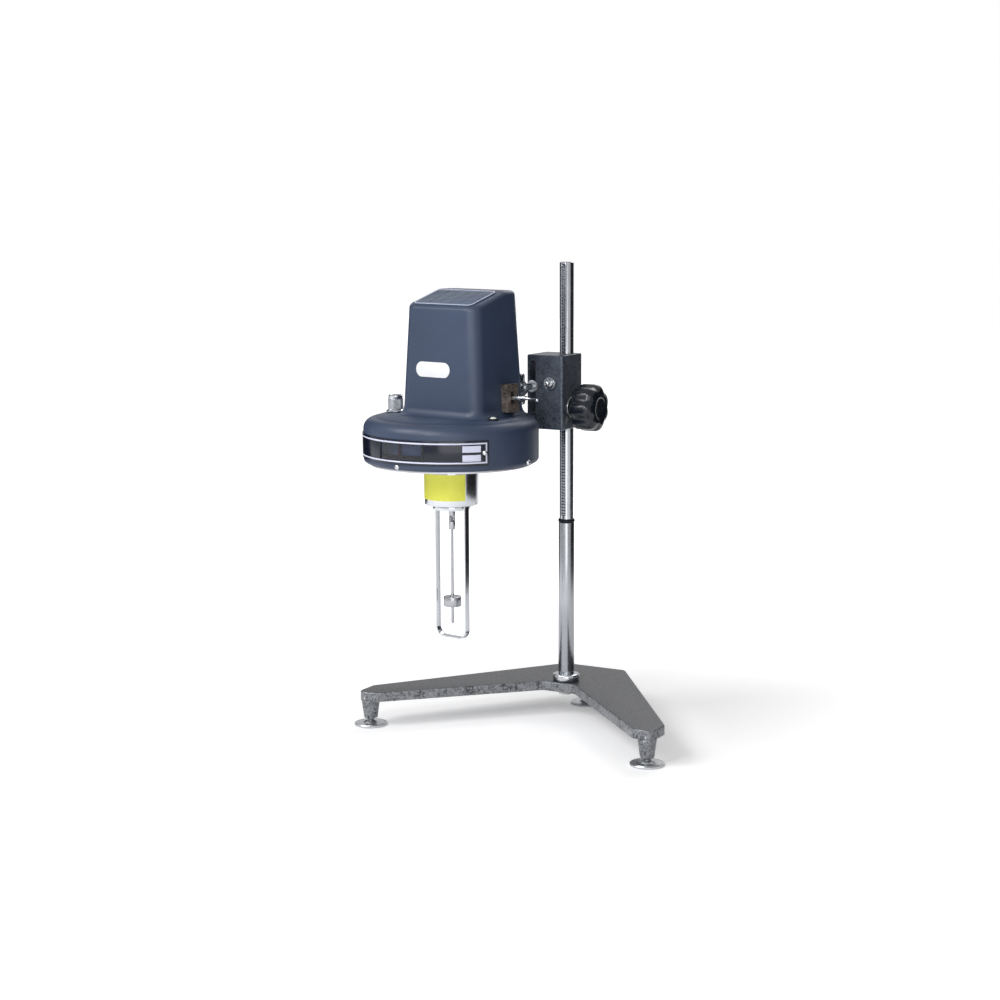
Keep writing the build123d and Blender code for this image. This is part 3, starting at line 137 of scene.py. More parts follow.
def add(tree, kind, links=None, **settings):
    """Adds one node; links maps an input's name or number to a socket, to a node whose first
    output is meant or to a fixed value."""
    node = tree.nodes.new(kind)
    for name, value in settings.items():
        setattr(node, name, value)
    for key, value in (links or {}).items():
        if isinstance(value, bpy.types.Node):
            value = value.outputs[0]
        if isinstance(value, bpy.types.NodeSocket):
            tree.links.new(value, node.inputs[key])
        else:
            node.inputs[key].default_value = value
    return node


def new_finish(name, tint, **sockets):
    """Material with one Principled shader, whose other sockets are set here by name."""
    material = bpy.data.materials.new(name)
    material.use_nodes = True
    material.diffuse_color = (*tint, 1.0)
    tree = material.node_tree
    tree.nodes.clear()
    shader = add(tree, "ShaderNodeBsdfPrincipled", {"Base Color": (*tint, 1.0)})
    for key, value in sockets.items():
        shader.inputs[key.replace("_", " ")].default_value = value
    add(tree, "ShaderNodeOutputMaterial", {"Surface": shader})
    return material, tree, shader


def lead(tree, shader, tone, stops, gloss, rough, height, depth_mm, strength=1.0):
    """Leads one factor through a ramp into the colour, one into a roughness between two values
    and one into a relief of so many millimetres."""
    ramp = add(tree, "ShaderNodeValToRGB", {"Fac": tone})
    for element, (place, tint) in zip(ramp.color_ramp.elements, stops):
        element.position = place
        element.color = (*tint, 1)
    links = {"Value": gloss, "To Min": rough[0], "To Max": rough[1]}
    level = add(tree, "ShaderNodeMapRange", links)
    links = {"Height": height, "Distance": depth_mm * MM, "Strength": strength}
    bump = add(tree, "ShaderNodeBump", links)
    for key, node in (("Base Color", ramp), ("Roughness", level), ("Normal", bump)):
        tree.links.new(node.outputs[0], shader.inputs[key])


def surface(name, tint, shares, cloud, fine, rough, depth_mm, **sockets):
    """Material whose colour drifts between two shares of its tint over a coarse noise, and whose
    roughness and relief follow a fine one. A noise is given by its grain in millimetres, by how
    far each axis draws it out and by its detail."""
    material, tree, shader = new_finish(name, tint, **sockets)
    place = add(tree, "ShaderNodeTexCoord").outputs["Object"]
    noises = []
    for size_mm, stretch, detail in (cloud, fine):
        links = {"Vector": place, "Scale": [1 / (size_mm * MM * s) for s in stretch]}
        spot = add(tree, "ShaderNodeMapping", links)
        links = {"Vector": spot, "Scale": 1.0, "Detail": detail}
        noises.append(add(tree, "ShaderNodeTexNoise", links).outputs["Fac"])
    tints = [[min(1.0, c * share) for c in tint] for share in shares]
    stops = ((0.3, tints[0]), (0.7, tints[1]))
    lead(tree, shader, noises[0], stops, noises[1], rough, noises[1], depth_mm)
    return material


def enamel(name, tint, grain_mm=1.6, roughness=0.4):
    """Sprayed stoving enamel: an even satin coat with a faint orange peel."""
    return surface(
        name, tint, (0.9, 1.08), (45.0, EVEN, 2.0), (grain_mm, EVEN, 1.5),
        (roughness - 0.05, roughness + 0.07), 0.035, Roughness=roughness,
    )


def bright_metal(name, tint, roughness, stretch=EVEN, grain_mm=0.5, mark=0.1):
    """Turned, ground or plated metal whose fine tool marks run along the stretched axis."""
    return surface(
        name, tint, (0.9, 1.05), (30.0, EVEN, 3.0), (grain_mm, stretch, 4.0),
        (max(0.04, roughness - mark / 2), roughness + mark), 0.008, Metallic=1.0,
        Roughness=roughness,
    )


def moulded(name, tint, roughness, grain_mm, depth_mm):
    """Moulded plastic, film or print: even colour with a very fine texture."""
    return surface(
        name, tint, (0.93, 1.05), (25.0, EVEN, 3.0), (grain_mm, EVEN, 2.0),
        (roughness * 0.85, roughness * 1.2), depth_mm, Roughness=roughness, IOR=1.5,
    )


def hammertone(name, light, dark, cell_mm=1.7):
    """Hammertone enamel: shallow bright dimples between darker seams, drawn a little coarse."""
    material, tree, shader = new_finish(
        name, [c * 0.7 for c in light], Metallic=0.2, Roughness=0.4, Coat_Weight=0.2,
        Coat_Roughness=0.2,
    )
    place = add(tree, "ShaderNodeTexCoord").outputs["Object"]
    drift = add(tree, "ShaderNodeTexNoise", {"Vector": place, "Scale": 420.0})
    links = {0: drift.outputs["Color"], 1: (1.1 * MM, 1.1 * MM, 1.1 * MM)}
    nudge = add(tree, "ShaderNodeVectorMath", links, operation="MULTIPLY")
    spot = add(tree, "ShaderNodeVectorMath", {0: place, 1: nudge}, operation="ADD")
    links = {"Vector": spot, "Scale": 1 / (cell_mm * MM), "Randomness": 1.0}
    cells = add(tree, "ShaderNodeTexVoronoi", links, feature="SMOOTH_F1").outputs["Distance"]
    links = {"Vector": place, "Scale": 1 / (9.0 * MM), "Detail": 2.0}
    patch = add(tree, "ShaderNodeTexNoise", links)
    links = {0: cells, 1: patch.outputs["Fac"]}
    mixed = add(tree, "ShaderNodeMath", links, operation="MULTIPLY")
    dome = add(tree, "ShaderNodeMath", {0: 1.0, 1: cells}, operation="SUBTRACT")
    stops = ((0.06, light), (0.42, dark))
    lead(tree, shader, mixed, stops, cells, (0.26, 0.5), dome, 0.16, 0.8)
    return material


def clear(name, tint, roughness, ior):
    """Clear or tinted moulding, with faint wiping marks in its gloss."""
    material, tree, shader = new_finish(
        name, tint, Roughness=roughness, IOR=ior, Transmission_Weight=1.0
    )
    place = add(tree, "ShaderNodeTexCoord").outputs["Object"]
    scale = [1 / (6.0 * MM * s) for s in (1, 1, 3)]
    spot = add(tree, "ShaderNodeMapping", {"Vector": place, "Scale": scale})
    links = {"Vector": spot, "Scale": 1.0, "Detail": 3.0}
    wipes = add(tree, "ShaderNodeTexNoise", links)
    links = {"Value": wipes.outputs["Fac"], "To Min": roughness, "To Max": roughness + 0.05}
    level = add(tree, "ShaderNodeMapRange", links)
    tree.links.new(level.outputs[0], shader.inputs["Roughness"])
    return material


# A text after a material's name is a colour: a hex code, or one of the panel's colours by name.
LOOKS = {
    # slate stoving enamel: satin, soft broad highlights along the cast corners
    "casing": (enamel, "slate_stoving_enamel", "casing"),
    # film of the sloped panel: the same slate a shade lighter, with a smoother gloss
    "table": (enamel, "panel_film", "#5B6B84", 2.5, 0.3),
    # hammertone on the aluminium block: speckled, with wet highlights
    "hammer": (hammertone, "hammertone_enamel", "hammer_light", "hammer_dark"),
    # hammertone of the lever's bracket: a finer, brown speckle
    "bracket": (hammertone, "brown_hammertone", "#80766F", "#302B28", 1.4),
    # hammertone on the cast iron: coarse pale cells, kept on the sides, while the top takes a
    # darker copy as painted shade
    "base": (hammertone, "cast_base_hammertone", "base_light", "base_dark", 2.1),
    # the flat top of the base: the same hammertone with finer cells, its colours darkened as
    # painted shade for how the flat top takes the light
    "base_top": (hammertone, "run_out_hammertone", "#42444A", "#2C2D32", 1.5),
    # printed polyester film: near black blue with an even low gloss
    "film": (moulded, "dark_polyester_film", "strip", 0.16, 1.5, 0.003),
    # pale ink of the lines and fields: flat beside the film
    "line": (moulded, "pale_screen_print", "outline", 0.45, 1.2, 0.004),
    # black ink of the dial and the ruled table: matt and crisp
    "mark": (moulded, "black_dial_print", "#15171A", 0.5, 0.8, 0.004),
    # vinyl label: strong flat yellow with hardly any gloss
    "yellow": (moulded, "yellow_vinyl_label", "label", 0.5, 1.0, 0.01),
    # acrylic name plate: clean white with a sharp gloss
    "plate": (moulded, "white_acrylic_plate", "plate", 0.25, 2.0, 0.004),
    # dial enamel: matt off-white behind the window
    "white": (moulded, "white_dial_enamel", "#D9DCE2", 0.5, 1.2, 0.006),
    # pointer lacquer: plain red
    "red": (moulded, "red_pointer_lacquer", "#B3261C", 0.4, 0.8, 0.006),
    # phenolic knob: deep black with long glossy highlights on the lobes
    "knob": (moulded, "black_phenolic", "knob", 0.2, 1.5, 0.008),
    # switch and inlet: black with a fine spark texture
    "plastic": (moulded, "black_polycarbonate", "#17191C", 0.38, 0.6, 0.02),
    # brake pad: milky and soft
    "nylon": (moulded, "natural_nylon", "#DAD5C6", 0.5, 0.8, 0.02),
    # spirit under the level's dome: a pale wet gleam
    "spirit": (moulded, "level_spirit", "#EEF2EC", 0.15, 2.0, 0.002),
    # acrylic window: smoked, so that the dial behind it looks slate
    "window": (clear, "smoked_acrylic", "#8C9AB4", 0.04, 1.49),
    # chromed rod: long clean reflections with hair-fine upright lines
    "column": (bright_metal, "ground_chromed_steel", "#C3C6CC", 0.16, (1, 1, 60), 0.35),
    # sleeve: the same, a little softer
    "sleeve": (bright_metal, "satin_steel_tube", "#B4B7BC", 0.22, (1, 1, 60), 0.45),
    # rack: duller, with the cutter's level marks
    "rack": (bright_metal, "milled_rack_steel", "#A9ACB2", 0.3, (30, 1, 1), 0.3),
    # ring over the sleeve: a thin black band with a dull gleam
    "dark_ring": (bright_metal, "blackened_steel", "#2B2D31", 0.35),
    # collar, guard and speed knob: bright, with turning marks round them
    "nickel": (bright_metal, "bright_nickel_plate", "#D6D9DE", 0.14, (20, 20, 1), 0.4),
    # spindle: greyer, with lathe marks seen close up
    "stainless": (bright_metal, "turned_stainless", "#B9BBBF", 0.24, (25, 25, 1), 0.3),
    # screws and nuts: even silver, a little cloudy
    "zinc": (bright_metal, "zinc_plated_steel", "#C2C4C6", 0.28),
    # foot discs: pale, with fine rings of the lathe
    "foot": (bright_metal, "turned_aluminium", "#D5D7DA", 0.26, (15, 15, 1), 0.3),
    # bottom cover: pale matt silver
    "cover": (bright_metal, "anodised_aluminium", "#D4D6DC", 0.38),
    # plates inside: sheet with the mill's grain along it
    "sheet": (bright_metal, "milled_aluminium_sheet", "#B5B7BA", 0.36, (20, 1, 1), 0.4),
    # motor can: upright drawing lines
    "can": (bright_metal, "drawn_motor_can", "#9A9DA1", 0.4, (1, 1, 25), 0.5),
    # gears and inlet blades: yellow and bright
    "brass": (bright_metal, "cut_brass", "#C2A05A", 0.28),
    # bushes: brown, with the dull pores of sintered metal
    "bronze": (bright_metal, "sintered_bronze", "#A9825A", 0.42, EVEN, 0.4, 0.2),
}
FINISHES = {}
BODY_OF = {
    node: body
    for body, nodes in frame["record"]["behaviour"]["bodies"].items()
    for node in nodes
}


def dress(node, finish):
    """Gives a CAD node that stays its finish."""
    for place in frame["nodes"][node].material_slots:
        place.material = FINISHES[finish]


def deliver(mesh, name, finish, node, replace=True, top=None):
    """Puts a finished mesh into the scene, on the body of a CAD node, in its place or beside it.
    Faces that look up take the finish that top names, if it does, which paints shade on them by the
    way they face."""
    piece = bpy.data.objects.new(name, mesh)
    bpy.context.scene.collection.objects.link(piece)
    mesh.materials.clear()
    for coat in (finish, top) if top else (finish,):
        mesh.materials.append(FINISHES[coat])
    for face in mesh.polygons:
        face.material_index = 1 if top and face.normal.z > 0.85 else 0
    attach(piece, BODY_OF[node])
    if replace:
        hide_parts(node)


def shaded(mesh, sharp):
    """The mesh with smooth faces, and sharp edges past an angle in degrees."""
    mesh.shade_smooth()
    mesh.set_sharp_from_angle(angle=math.radians(sharp))
    return mesh


def settled(piece):
    """Plain mesh of a scratch object with its modifiers worked out; the object goes."""
    bpy.context.scene.collection.objects.link(piece)
    graph = bpy.context.evaluated_depsgraph_get()
    mesh = bpy.data.meshes.new_from_object(piece.evaluated_get(graph))
    bpy.data.objects.remove(piece)
    return mesh


def mesh_from(bm, name, sharp=32):
    mesh = bpy.data.meshes.new(name)
    bm.to_mesh(mesh)
    bm.free()
    return shaded(mesh, sharp)


def closed_mesh(bm, name, sharp=32):
    """Mesh whose faces are first turned outwards."""
    bmesh.ops.recalc_face_normals(bm, faces=bm.faces)
    return mesh_from(bm, name, sharp)


def instead(bm, node, finish, sharp=32):
    """Delivers a closed shape in the place of a CAD node."""
    deliver(closed_mesh(bm, node, sharp), node + "_finished", finish, node)


def beside(bm, name, finish, node, sharp=32):
    """Delivers a closed shape as a piece of its own that goes with a CAD node."""
    deliver(closed_mesh(bm, name, sharp), name, finish, node, False)


def softened(mesh, width_mm):
    """The mesh with its edges rounded to the width, as paint or wear leaves them."""
    piece = bpy.data.objects.new("softening", mesh)
    edge = piece.modifiers.new("edge", "BEVEL")
    edge.width = width_mm * MM
    edge.segments = 2
    edge.limit_method = "ANGLE"
    edge.angle_limit = math.radians(40)
    edge.use_clamp_overlap = True
    return shaded(settled(piece), 50)


def welded(node, edge_mm=0.0, sharp=32):
    """Copy of a CAD node's mesh with its triangles joined and its curved faces shaded smooth."""
    bm = bmesh.new()
    bm.from_mesh(frame["nodes"][node].data)
    bmesh.ops.remove_doubles(bm, verts=bm.verts, dist=2e-6)
    limit = math.radians(0.5)
    bmesh.ops.dissolve_limit(bm, angle_limit=limit, verts=bm.verts, edges=bm.edges)
    mesh = mesh_from(bm, node + "_skin", sharp)
    if "custom_normal" in mesh.attributes:
        mesh.attributes.remove(mesh.attributes["custom_normal"])
    return softened(mesh, edge_mm) if edge_mm else mesh


def skin(node, finish, edge_mm=0.0, sharp=32, top=None):
    deliver(welded(node, edge_mm, sharp), node + "_finished", finish, node, top=top)


def banded(bm, rows, loop=False):
    """Joins rings of corners into bands of faces; a ring of one corner is a pole."""
    for low, high in zip(rows, rows[1:] + rows[:1] if loop else rows[1:]):
        for i in range(max(len(low), len(high))):
            j = i + 1
            ring = [low[i % len(low)], low[j % len(low)], high[j % len(high)], high[i % len(high)]]
            corners = list(dict.fromkeys(ring))
            if len(corners) > 2:
                bm.faces.new(corners)
    return bm


def lathe(bm, profile, place, steps=72, wave=None):
    """Adds a closed surface of revolution about Z from (radius, height) points in millimetres.
    wave(angle, radius) may give another radius for a point."""
    rows = []
    for radius, height in profile:
        row = []
        for i in range(steps if radius else 1):
            way = 2 * math.pi * i / steps
            r = wave(way, radius) if wave else radius
            spot = Vector((r * math.cos(way), r * math.sin(way), height)) * MM
            row.append(bm.verts.new(place @ spot))
        rows.append(row)
    return banded(bm, rows)


def arc_sheet(bm, radius, half, middle, low, high, thick, steps):
    """Adds a thin plate curved round the head's axis; angles in degrees from the front."""
    rings = []
    for i in range(steps + 1):
        side = outward(middle - half + 2 * half * i / steps)
        corners = []
        for r, z in ((radius, low), (radius, high), (radius + thick, high), (radius + thick, low)):
            corners.append(bm.verts.new(HEAD @ ((side * r + Vector((0, 0, z))) * MM)))
        rings.append(corners)
    banded(bm, rings)
    bm.faces.new(rings[0])
    bm.faces.new(rings[-1][::-1])
    return bm


def flat_bar(bm, x0, x1, y0, y1, z0, z1, place):
    """Adds a box in millimetres, turned into place."""
    corners = [Vector((x, y, z)) * MM for z in (z0, z1) for y in (y0, y1) for x in (x0, x1)]
    v = [bm.verts.new(place @ c) for c in corners]
    sides = ((0, 2, 3, 1), (4, 5, 7, 6), (0, 1, 5, 4), (2, 6, 7, 3), (0, 4, 6, 2), (1, 3, 7, 5))
    for side in sides:
        bm.faces.new([v[i] for i in side])


def rounded(x0, x1, y0, y1, corner, steps):
    """Points of a rectangle with round corners, in millimetres."""
    points = []
    for sx, sy, start in ((1, 1, 0), (-1, 1, 90), (-1, -1, 180), (1, -1, 270)):
        cx = x1 - corner if sx > 0 else x0 + corner
        cy = y1 - corner if sy > 0 else y0 + corner
        for i in range(steps + 1):
            way = math.radians(start + 90 * i / steps)
            points.append((cx + corner * math.cos(way), cy + corner * math.sin(way)))
    return points


def ring_band(rows, place):
    """Closed band through rings of points, each ring at its own height in millimetres."""
    bm = bmesh.new()
    rings = [[Vector((x, y, z)) * MM for x, y in ring] for ring, z in rows]
    return banded(bm, [[bm.verts.new(place @ spot) for spot in ring] for ring in rings], True)


def new_tree(name, **inputs):
    """Geometry node tree with a geometry in, a geometry out, the named inputs and a material."""
    tree = bpy.data.node_groups.new(name, "GeometryNodeTree")
    tree.interface.new_socket("Geometry", in_out="INPUT", socket_type="NodeSocketGeometry")
    tree.interface.new_socket("Geometry", in_out="OUTPUT", socket_type="NodeSocketGeometry")
    for title, kind in {**inputs, "Material": "Material"}.items():
        tree.interface.new_socket(title, in_out="INPUT", socket_type="NodeSocket" + kind)
    return tree, add(tree, "NodeGroupInput").outputs


def close_tree(tree, given, shape):
    """Ends a tree in Realize Instances and Set Material."""
    real = add(tree, "GeometryNodeRealizeInstances", {0: shape})
    links = {"Geometry": real, "Material": given["Material"]}
    painted = add(tree, "GeometryNodeSetMaterial", links)
    add(tree, "NodeGroupOutput", {0: painted})
    return tree


def grown(name, tree, values, finish, spots=((0, 0, 0),), facing=()):
    """Plain mesh that a node tree grows from points in metres; nothing of the tree stays on it."""
    seed = bpy.data.meshes.new(name + "_seed")
    seed.from_pydata([tuple(s) for s in spots], [], [])
    if facing:
        store = seed.attributes.new("facing", "FLOAT_VECTOR", "POINT")
        for i, way in enumerate(facing):
            store.data[i].vector = tuple(way)
    piece = bpy.data.objects.new(name + "_seed", seed)
    growth = piece.modifiers.new("growth", "NODES")
    growth.node_group = tree
    values = {**values, "Material": FINISHES[finish]}
    for item in tree.interface.items_tree:
        if item.in_out == "INPUT" and item.name in values:
            growth[item.identifier] = values[item.name]
    mesh = settled(piece)
    mesh.name = name
    return shaded(mesh, 35)


def screw_tree():
    """Domed slotted heads, one on each point, each facing the way its point says."""
    tree, given = new_tree("domed_screws", Radius="Float", Rise="Float", Slot="Float")
    ball = add(tree, "GeometryNodeMeshUVSphere", {"Segments": 32, "Rings": 16, "Radius": 1.0})
    links = {"X": given["Radius"], "Y": given["Radius"], "Z": given["Rise"]}
    size = add(tree, "ShaderNodeCombineXYZ", links)
    links = {"Geometry": ball.outputs["Mesh"], "Scale": size}
    dome = add(tree, "GeometryNodeTransform", links)
    under = add(tree, "GeometryNodeMeshCube", {"Size": (0.02, 0.02, 0.01)})
    below = add(tree, "GeometryNodeTransform", {"Geometry": under, "Translation": (0, 0, -0.005)})
    links = {"X": 0.02, "Y": given["Slot"], "Z": given["Rise"]}
    size = add(tree, "ShaderNodeCombineXYZ", links)
    groove = add(tree, "GeometryNodeMeshCube", {"Size": size})
    lift = add(tree, "ShaderNodeCombineXYZ", {"Z": given["Rise"]})
    groove = add(tree, "GeometryNodeTransform", {"Geometry": groove, "Translation": lift})
    head = add(tree, "GeometryNodeMeshBoolean", operation="DIFFERENCE", solver="EXACT")
    for key, solid in ((0, dome), (1, below), (1, groove)):
        tree.links.new(solid.outputs[0], head.inputs[key])
    way = add(tree, "GeometryNodeInputNamedAttribute", {"Name": "facing"}, data_type="FLOAT_VECTOR")
    spin = add(tree, "FunctionNodeAlignRotationToVector", {"Vector": way}, axis="Z")
    links = {"Points": given["Geometry"], "Instance": head, "Rotation": spin}
    return close_tree(tree, given, add(tree, "GeometryNodeInstanceOnPoints", links))


def rib_tree():
    """Straight round ribs side by side on a circle, as a knurling wheel leaves them."""
    tree, given = new_tree("knurled_ribs", Count="Int", Radius="Float", Rib="Float", Height="Float")
    links = {"Vertices": given["Count"], "Radius": given["Radius"]}
    circle = add(tree, "GeometryNodeMeshCircle", links)
    links = {"Vertices": 8, "Radius": given["Rib"], "Depth": given["Height"]}
    rib = add(tree, "GeometryNodeMeshCylinder", links)
    many = add(tree, "GeometryNodeInstanceOnPoints", {"Points": circle, "Instance": rib})
    return close_tree(tree, given, many)


def thread_tree():
    """Right-handed helical thread round the Z axis."""
    tree, given = new_tree(
        "helical_thread", Radius="Float", Pitch="Float", Turns="Float", Height="Float"
    )
    links = {
        "Resolution": 24, "Rotations": given["Turns"], "Start Radius": given["Radius"],
        "End Radius": given["Radius"], "Height": given["Height"],
    }
    helix = add(tree, "GeometryNodeCurveSpiral", links)
    size = add(tree, "ShaderNodeMath", {0: given["Pitch"], 1: 0.55}, operation="MULTIPLY")
    links = {"Resolution": 4, "Radius": size}
    ridge = add(tree, "GeometryNodeCurvePrimitiveCircle", links)
    links = {"Curve": helix, "Profile Curve": ridge, "Fill Caps": True}
    return close_tree(tree, given, add(tree, "GeometryNodeCurveToMesh", links))


def mark_tree():
    """Thin upright marks round a drum, all facing out."""
    tree, given = new_tree("dial_marks", Count="Int", Radius="Float", Width="Float", Height="Float")
    links = {"Vertices": given["Count"], "Radius": given["Radius"]}
    circle = add(tree, "GeometryNodeMeshCircle", links)
    links = {"X": PRINT_THICK * MM, "Y": given["Width"], "Z": given["Height"]}
    size = add(tree, "ShaderNodeCombineXYZ", links)
    mark = add(tree, "GeometryNodeMeshCube", {"Size": size})
    place = add(tree, "GeometryNodeInputPosition")
    spin = add(tree, "FunctionNodeAlignRotationToVector", {"Vector": place}, axis="X")
    links = {"Points": circle, "Instance": mark, "Rotation": spin}
    return close_tree(tree, given, add(tree, "GeometryNodeInstanceOnPoints", links))


def rule_tree():
    """Parallel ruled lines on a panel."""
    tree, given = new_tree("ruled_lines", Count="Int", Start="Vector", Step="Vector", Size="Vector")
    links = {"Count": given["Count"], "Start Location": given["Start"], "Offset": given["Step"]}
    line = add(tree, "GeometryNodeMeshLine", links, mode="OFFSET")
    bar = add(tree, "GeometryNodeMeshCube", {"Size": given["Size"]})
    many = add(tree, "GeometryNodeInstanceOnPoints", {"Points": line, "Instance": bar})
    return close_tree(tree, given, many)


def joined(bm, mesh, place):
    """Adds a mesh to a bmesh, moved into place first."""
    mesh.transform(place)
    bm.from_mesh(mesh)
    bpy.data.meshes.remove(mesh)


def knurled(profile, place, steps, ribs, radius, rib, low, high):
    """Turned body with a knurled band on it; sizes in millimetres."""
    bm = lathe(bmesh.new(), profile, place, steps)
    values = {"Count": ribs, "Radius": radius * MM, "Rib": rib * MM, "Height": (high - low) * MM}
    mesh = grown("knurl", rib_tree(), values, "zinc")
    joined(bm, mesh, place @ at(0, 0, (low + high) / 2))
    return bm


class FinishesOperator(bpy.types.Operator):
    """Make every finish of the instrument"""

    bl_idname = "viscometer.finishes"
    bl_label = "Finishes"

    def execute(self, context):
        for key, (make, name, *rest) in LOOKS.items():
            FINISHES[key] = make(name, *[self.tint(context, value) for value in rest])
        return {"FINISHED"}

    def tint(self, context, value):
        """Linear colour of a text; any other value stays as it is."""
        if not isinstance(value, str):
            return value
        colours = context.scene.viscometer_colours
        return linear(value) if value[0] == "#" else getattr(colours, value)


class StageOperator(bpy.types.Operator):
    """Set the pale floor, the soft studio lights, the black cards and the camera"""

    bl_idname = "viscometer.stage"
    bl_label = "Stage"

    def execute(self, context):
        scene = context.scene
        scene.view_settings.view_transform = "Standard"
        self.floor()
        self.world(scene)
        self.lamp("key_softbox", (-1.3, -1.6, 1.9), (-0.05, 0.0, 0.3), (1.1, 1.1), 30)
        self.lamp("near_softbox", (-0.04, -0.8, 0.72), (-0.04, -0.05, 0.4), (0.22, 0.4), 2.6)
        self.lamp("broad_softbox", (1.1, -2.0, 0.75), (0.0, 0.05, 0.3), (1.3, 1.4), 10)
        self.lamp("rim_softbox", (-0.2, 1.8, 1.8), (0.0, 0.0, 0.25), (1.2, 1.0), 12)
        self.card("right_flag", Vector((0.75, 0.62, 0.42)), 1.5, 0.84)
        self.card("left_flag", Vector((-1.05, 0.35, 0.5)), 0.7, 1.0)
        camera = bpy.data.cameras.new("camera")
        camera.lens = 72.0
        camera.sensor_width = 36.0
        camera.shift_x = -0.05
        camera.clip_end = 30.0
        view = bpy.data.objects.new("camera", camera)
        view.location = (0.9752, -1.8021, 0.561)
        view.rotation_euler = (math.radians(90 - 8.8), 0.0, math.radians(28.0))
        scene.collection.objects.link(view)
        scene.camera = view
        return {"FINISHED"}

    def sheet(self, name, corners, material):
        """One flat face of the stage."""
        mesh = bpy.data.meshes.new(name)
        mesh.from_pydata([tuple(c) for c in corners], [], [(0, 1, 2, 3)])
        mesh.materials.append(material)
        piece = bpy.data.objects.new(name, mesh)
        bpy.context.scene.collection.objects.link(piece)
        return piece

    def floor(self):
        """Floor that takes the shadow near the object and is plain white further off."""
        paper, tree, shader = new_finish("white_paper", linear("#F7F7F8"), Roughness=0.9)
        shader.inputs["Specular IOR Level"].default_value = 0.0
        path = add(tree, "ShaderNodeLightPath").outputs
        links = {0: path["Is Glossy Ray"], 1: 0.5, 2: path["Is Camera Ray"]}
        seen = add(tree, "ShaderNodeMath", links, operation="MULTIPLY_ADD")
        links = {0: add(tree, "ShaderNodeTexCoord").outputs["Object"]}
        reach = add(tree, "ShaderNodeVectorMath", links, operation="LENGTH")
        links = {
            "Value": reach.outputs["Value"], "From Min": 0.2, "From Max": 0.75, "To Min": 0.3,
            "To Max": 1.0,
        }
        white = add(tree, "ShaderNodeMapRange", links)
        glow = add(tree, "ShaderNodeMath", {0: seen, 1: white}, operation="MULTIPLY")
        shader.inputs["Emission Color"].default_value = (1, 1, 1, 1)
        tree.links.new(glow.outputs[0], shader.inputs["Emission Strength"])
        edge = 6.0
        corners = ((-edge, -edge, 0), (edge, -edge, 0), (edge, edge, 0), (-edge, edge, 0))
        self.sheet("floor", corners, paper)

    def card(self, name, place, wide, high):
        """Black card beside the object, which darkens its side and the edges of its metal."""
        up = Vector((0, 0, high / 2))
        side = Vector((place.y, -place.x, 0)).normalized() * (wide / 2)
        corners = (place - side - up, place + side - up, place + side + up, place - side + up)
        black = new_finish("black_card", linear("#0A0A0B"), Roughness=0.9)[0]
        self.sheet(name, corners, black).visible_camera = False

    def world(self, scene):
        """White to the camera and through glass, dimmer in metal, and a weak fill elsewhere."""
        world = bpy.data.worlds.new("studio")
        scene.world = world
        world.use_nodes = True
        tree = world.node_tree
        tree.nodes.clear()
        path = add(tree, "ShaderNodeLightPath").outputs
        links = {0: path["Is Glossy Ray"], 1: 0.45, 2: path["Is Camera Ray"]}
        first = add(tree, "ShaderNodeMath", links, operation="MULTIPLY_ADD")
        links = {0: first, 1: path["Is Transmission Ray"]}
        seen = add(tree, "ShaderNodeMath", links, operation="MAXIMUM")
        links = {"Value": seen, "To Min": 0.24, "To Max": 1.0}
        level = add(tree, "ShaderNodeMapRange", links)
        sky = add(tree, "ShaderNodeBackground", {"Color": (1, 1, 1, 1), "Strength": level})
        add(tree, "ShaderNodeOutputWorld", {"Surface": sky})

    def lamp(self, name, place, target, size, power):
        """Area lamp in metres and watts that looks at its target."""
        data = bpy.data.lights.new(name, "AREA")
        data.shape = "RECTANGLE"
        data.size, data.size_y = size
        data.energy = power
        lamp = bpy.data.objects.new(name, data)
        lamp.location = place
        way = Vector(target) - Vector(place)
        lamp.rotation_euler = way.to_track_quat("-Z", "Y").to_euler()
        bpy.context.scene.collection.objects.link(lamp)


class CasingOperator(bpy.types.Operator):
    """Finish the round casing, its cover and the tower with its concave foot"""

    bl_idname = "viscometer.casing"
    bl_label = "Casing and tower"

    def execute(self, context):
        skin("lower_casing", "casing", 0.0, 25)
        skin("bottom_cover", "cover", 0.3)
        skin("tower_cover", "casing", 0.0, 25)
        skin("top_table", "table", 0.25)
        skin("name_plate", "plate", 0.2)
        beside(self.foot_flare(), "tower_foot_flare", "casing", "tower_cover", 40)
        return {"FINISHED"}

    def foot_flare(self):
        """Concave ring round the tower's foot, a hair clear of the tower and of the disc."""
        wide, tall, hair = 6.5, 9.0, 0.03
        steps = [(hair, tall)]
        for i in range(1, 9):
            way = math.pi / 2 * i / 8
            steps.append((wide * (1 - math.cos(way)), tall * (1 - math.sin(way))))
        rows = []
        for out, up in (*steps, (hair, 0.0)):
            grow = out - SIDE_LEAN / TOWER_RISE * up
            ring = rounded(
                -TOWER_HALF - grow, TOWER_HALF + grow, TOWER_FRONT - grow, TOWER_REAR + grow,
                TOWER_CORNER + grow, 12,
            )
            rows.append((ring, DISC_TOP + 0.02 + up))
        return ring_band(rows, HEAD)


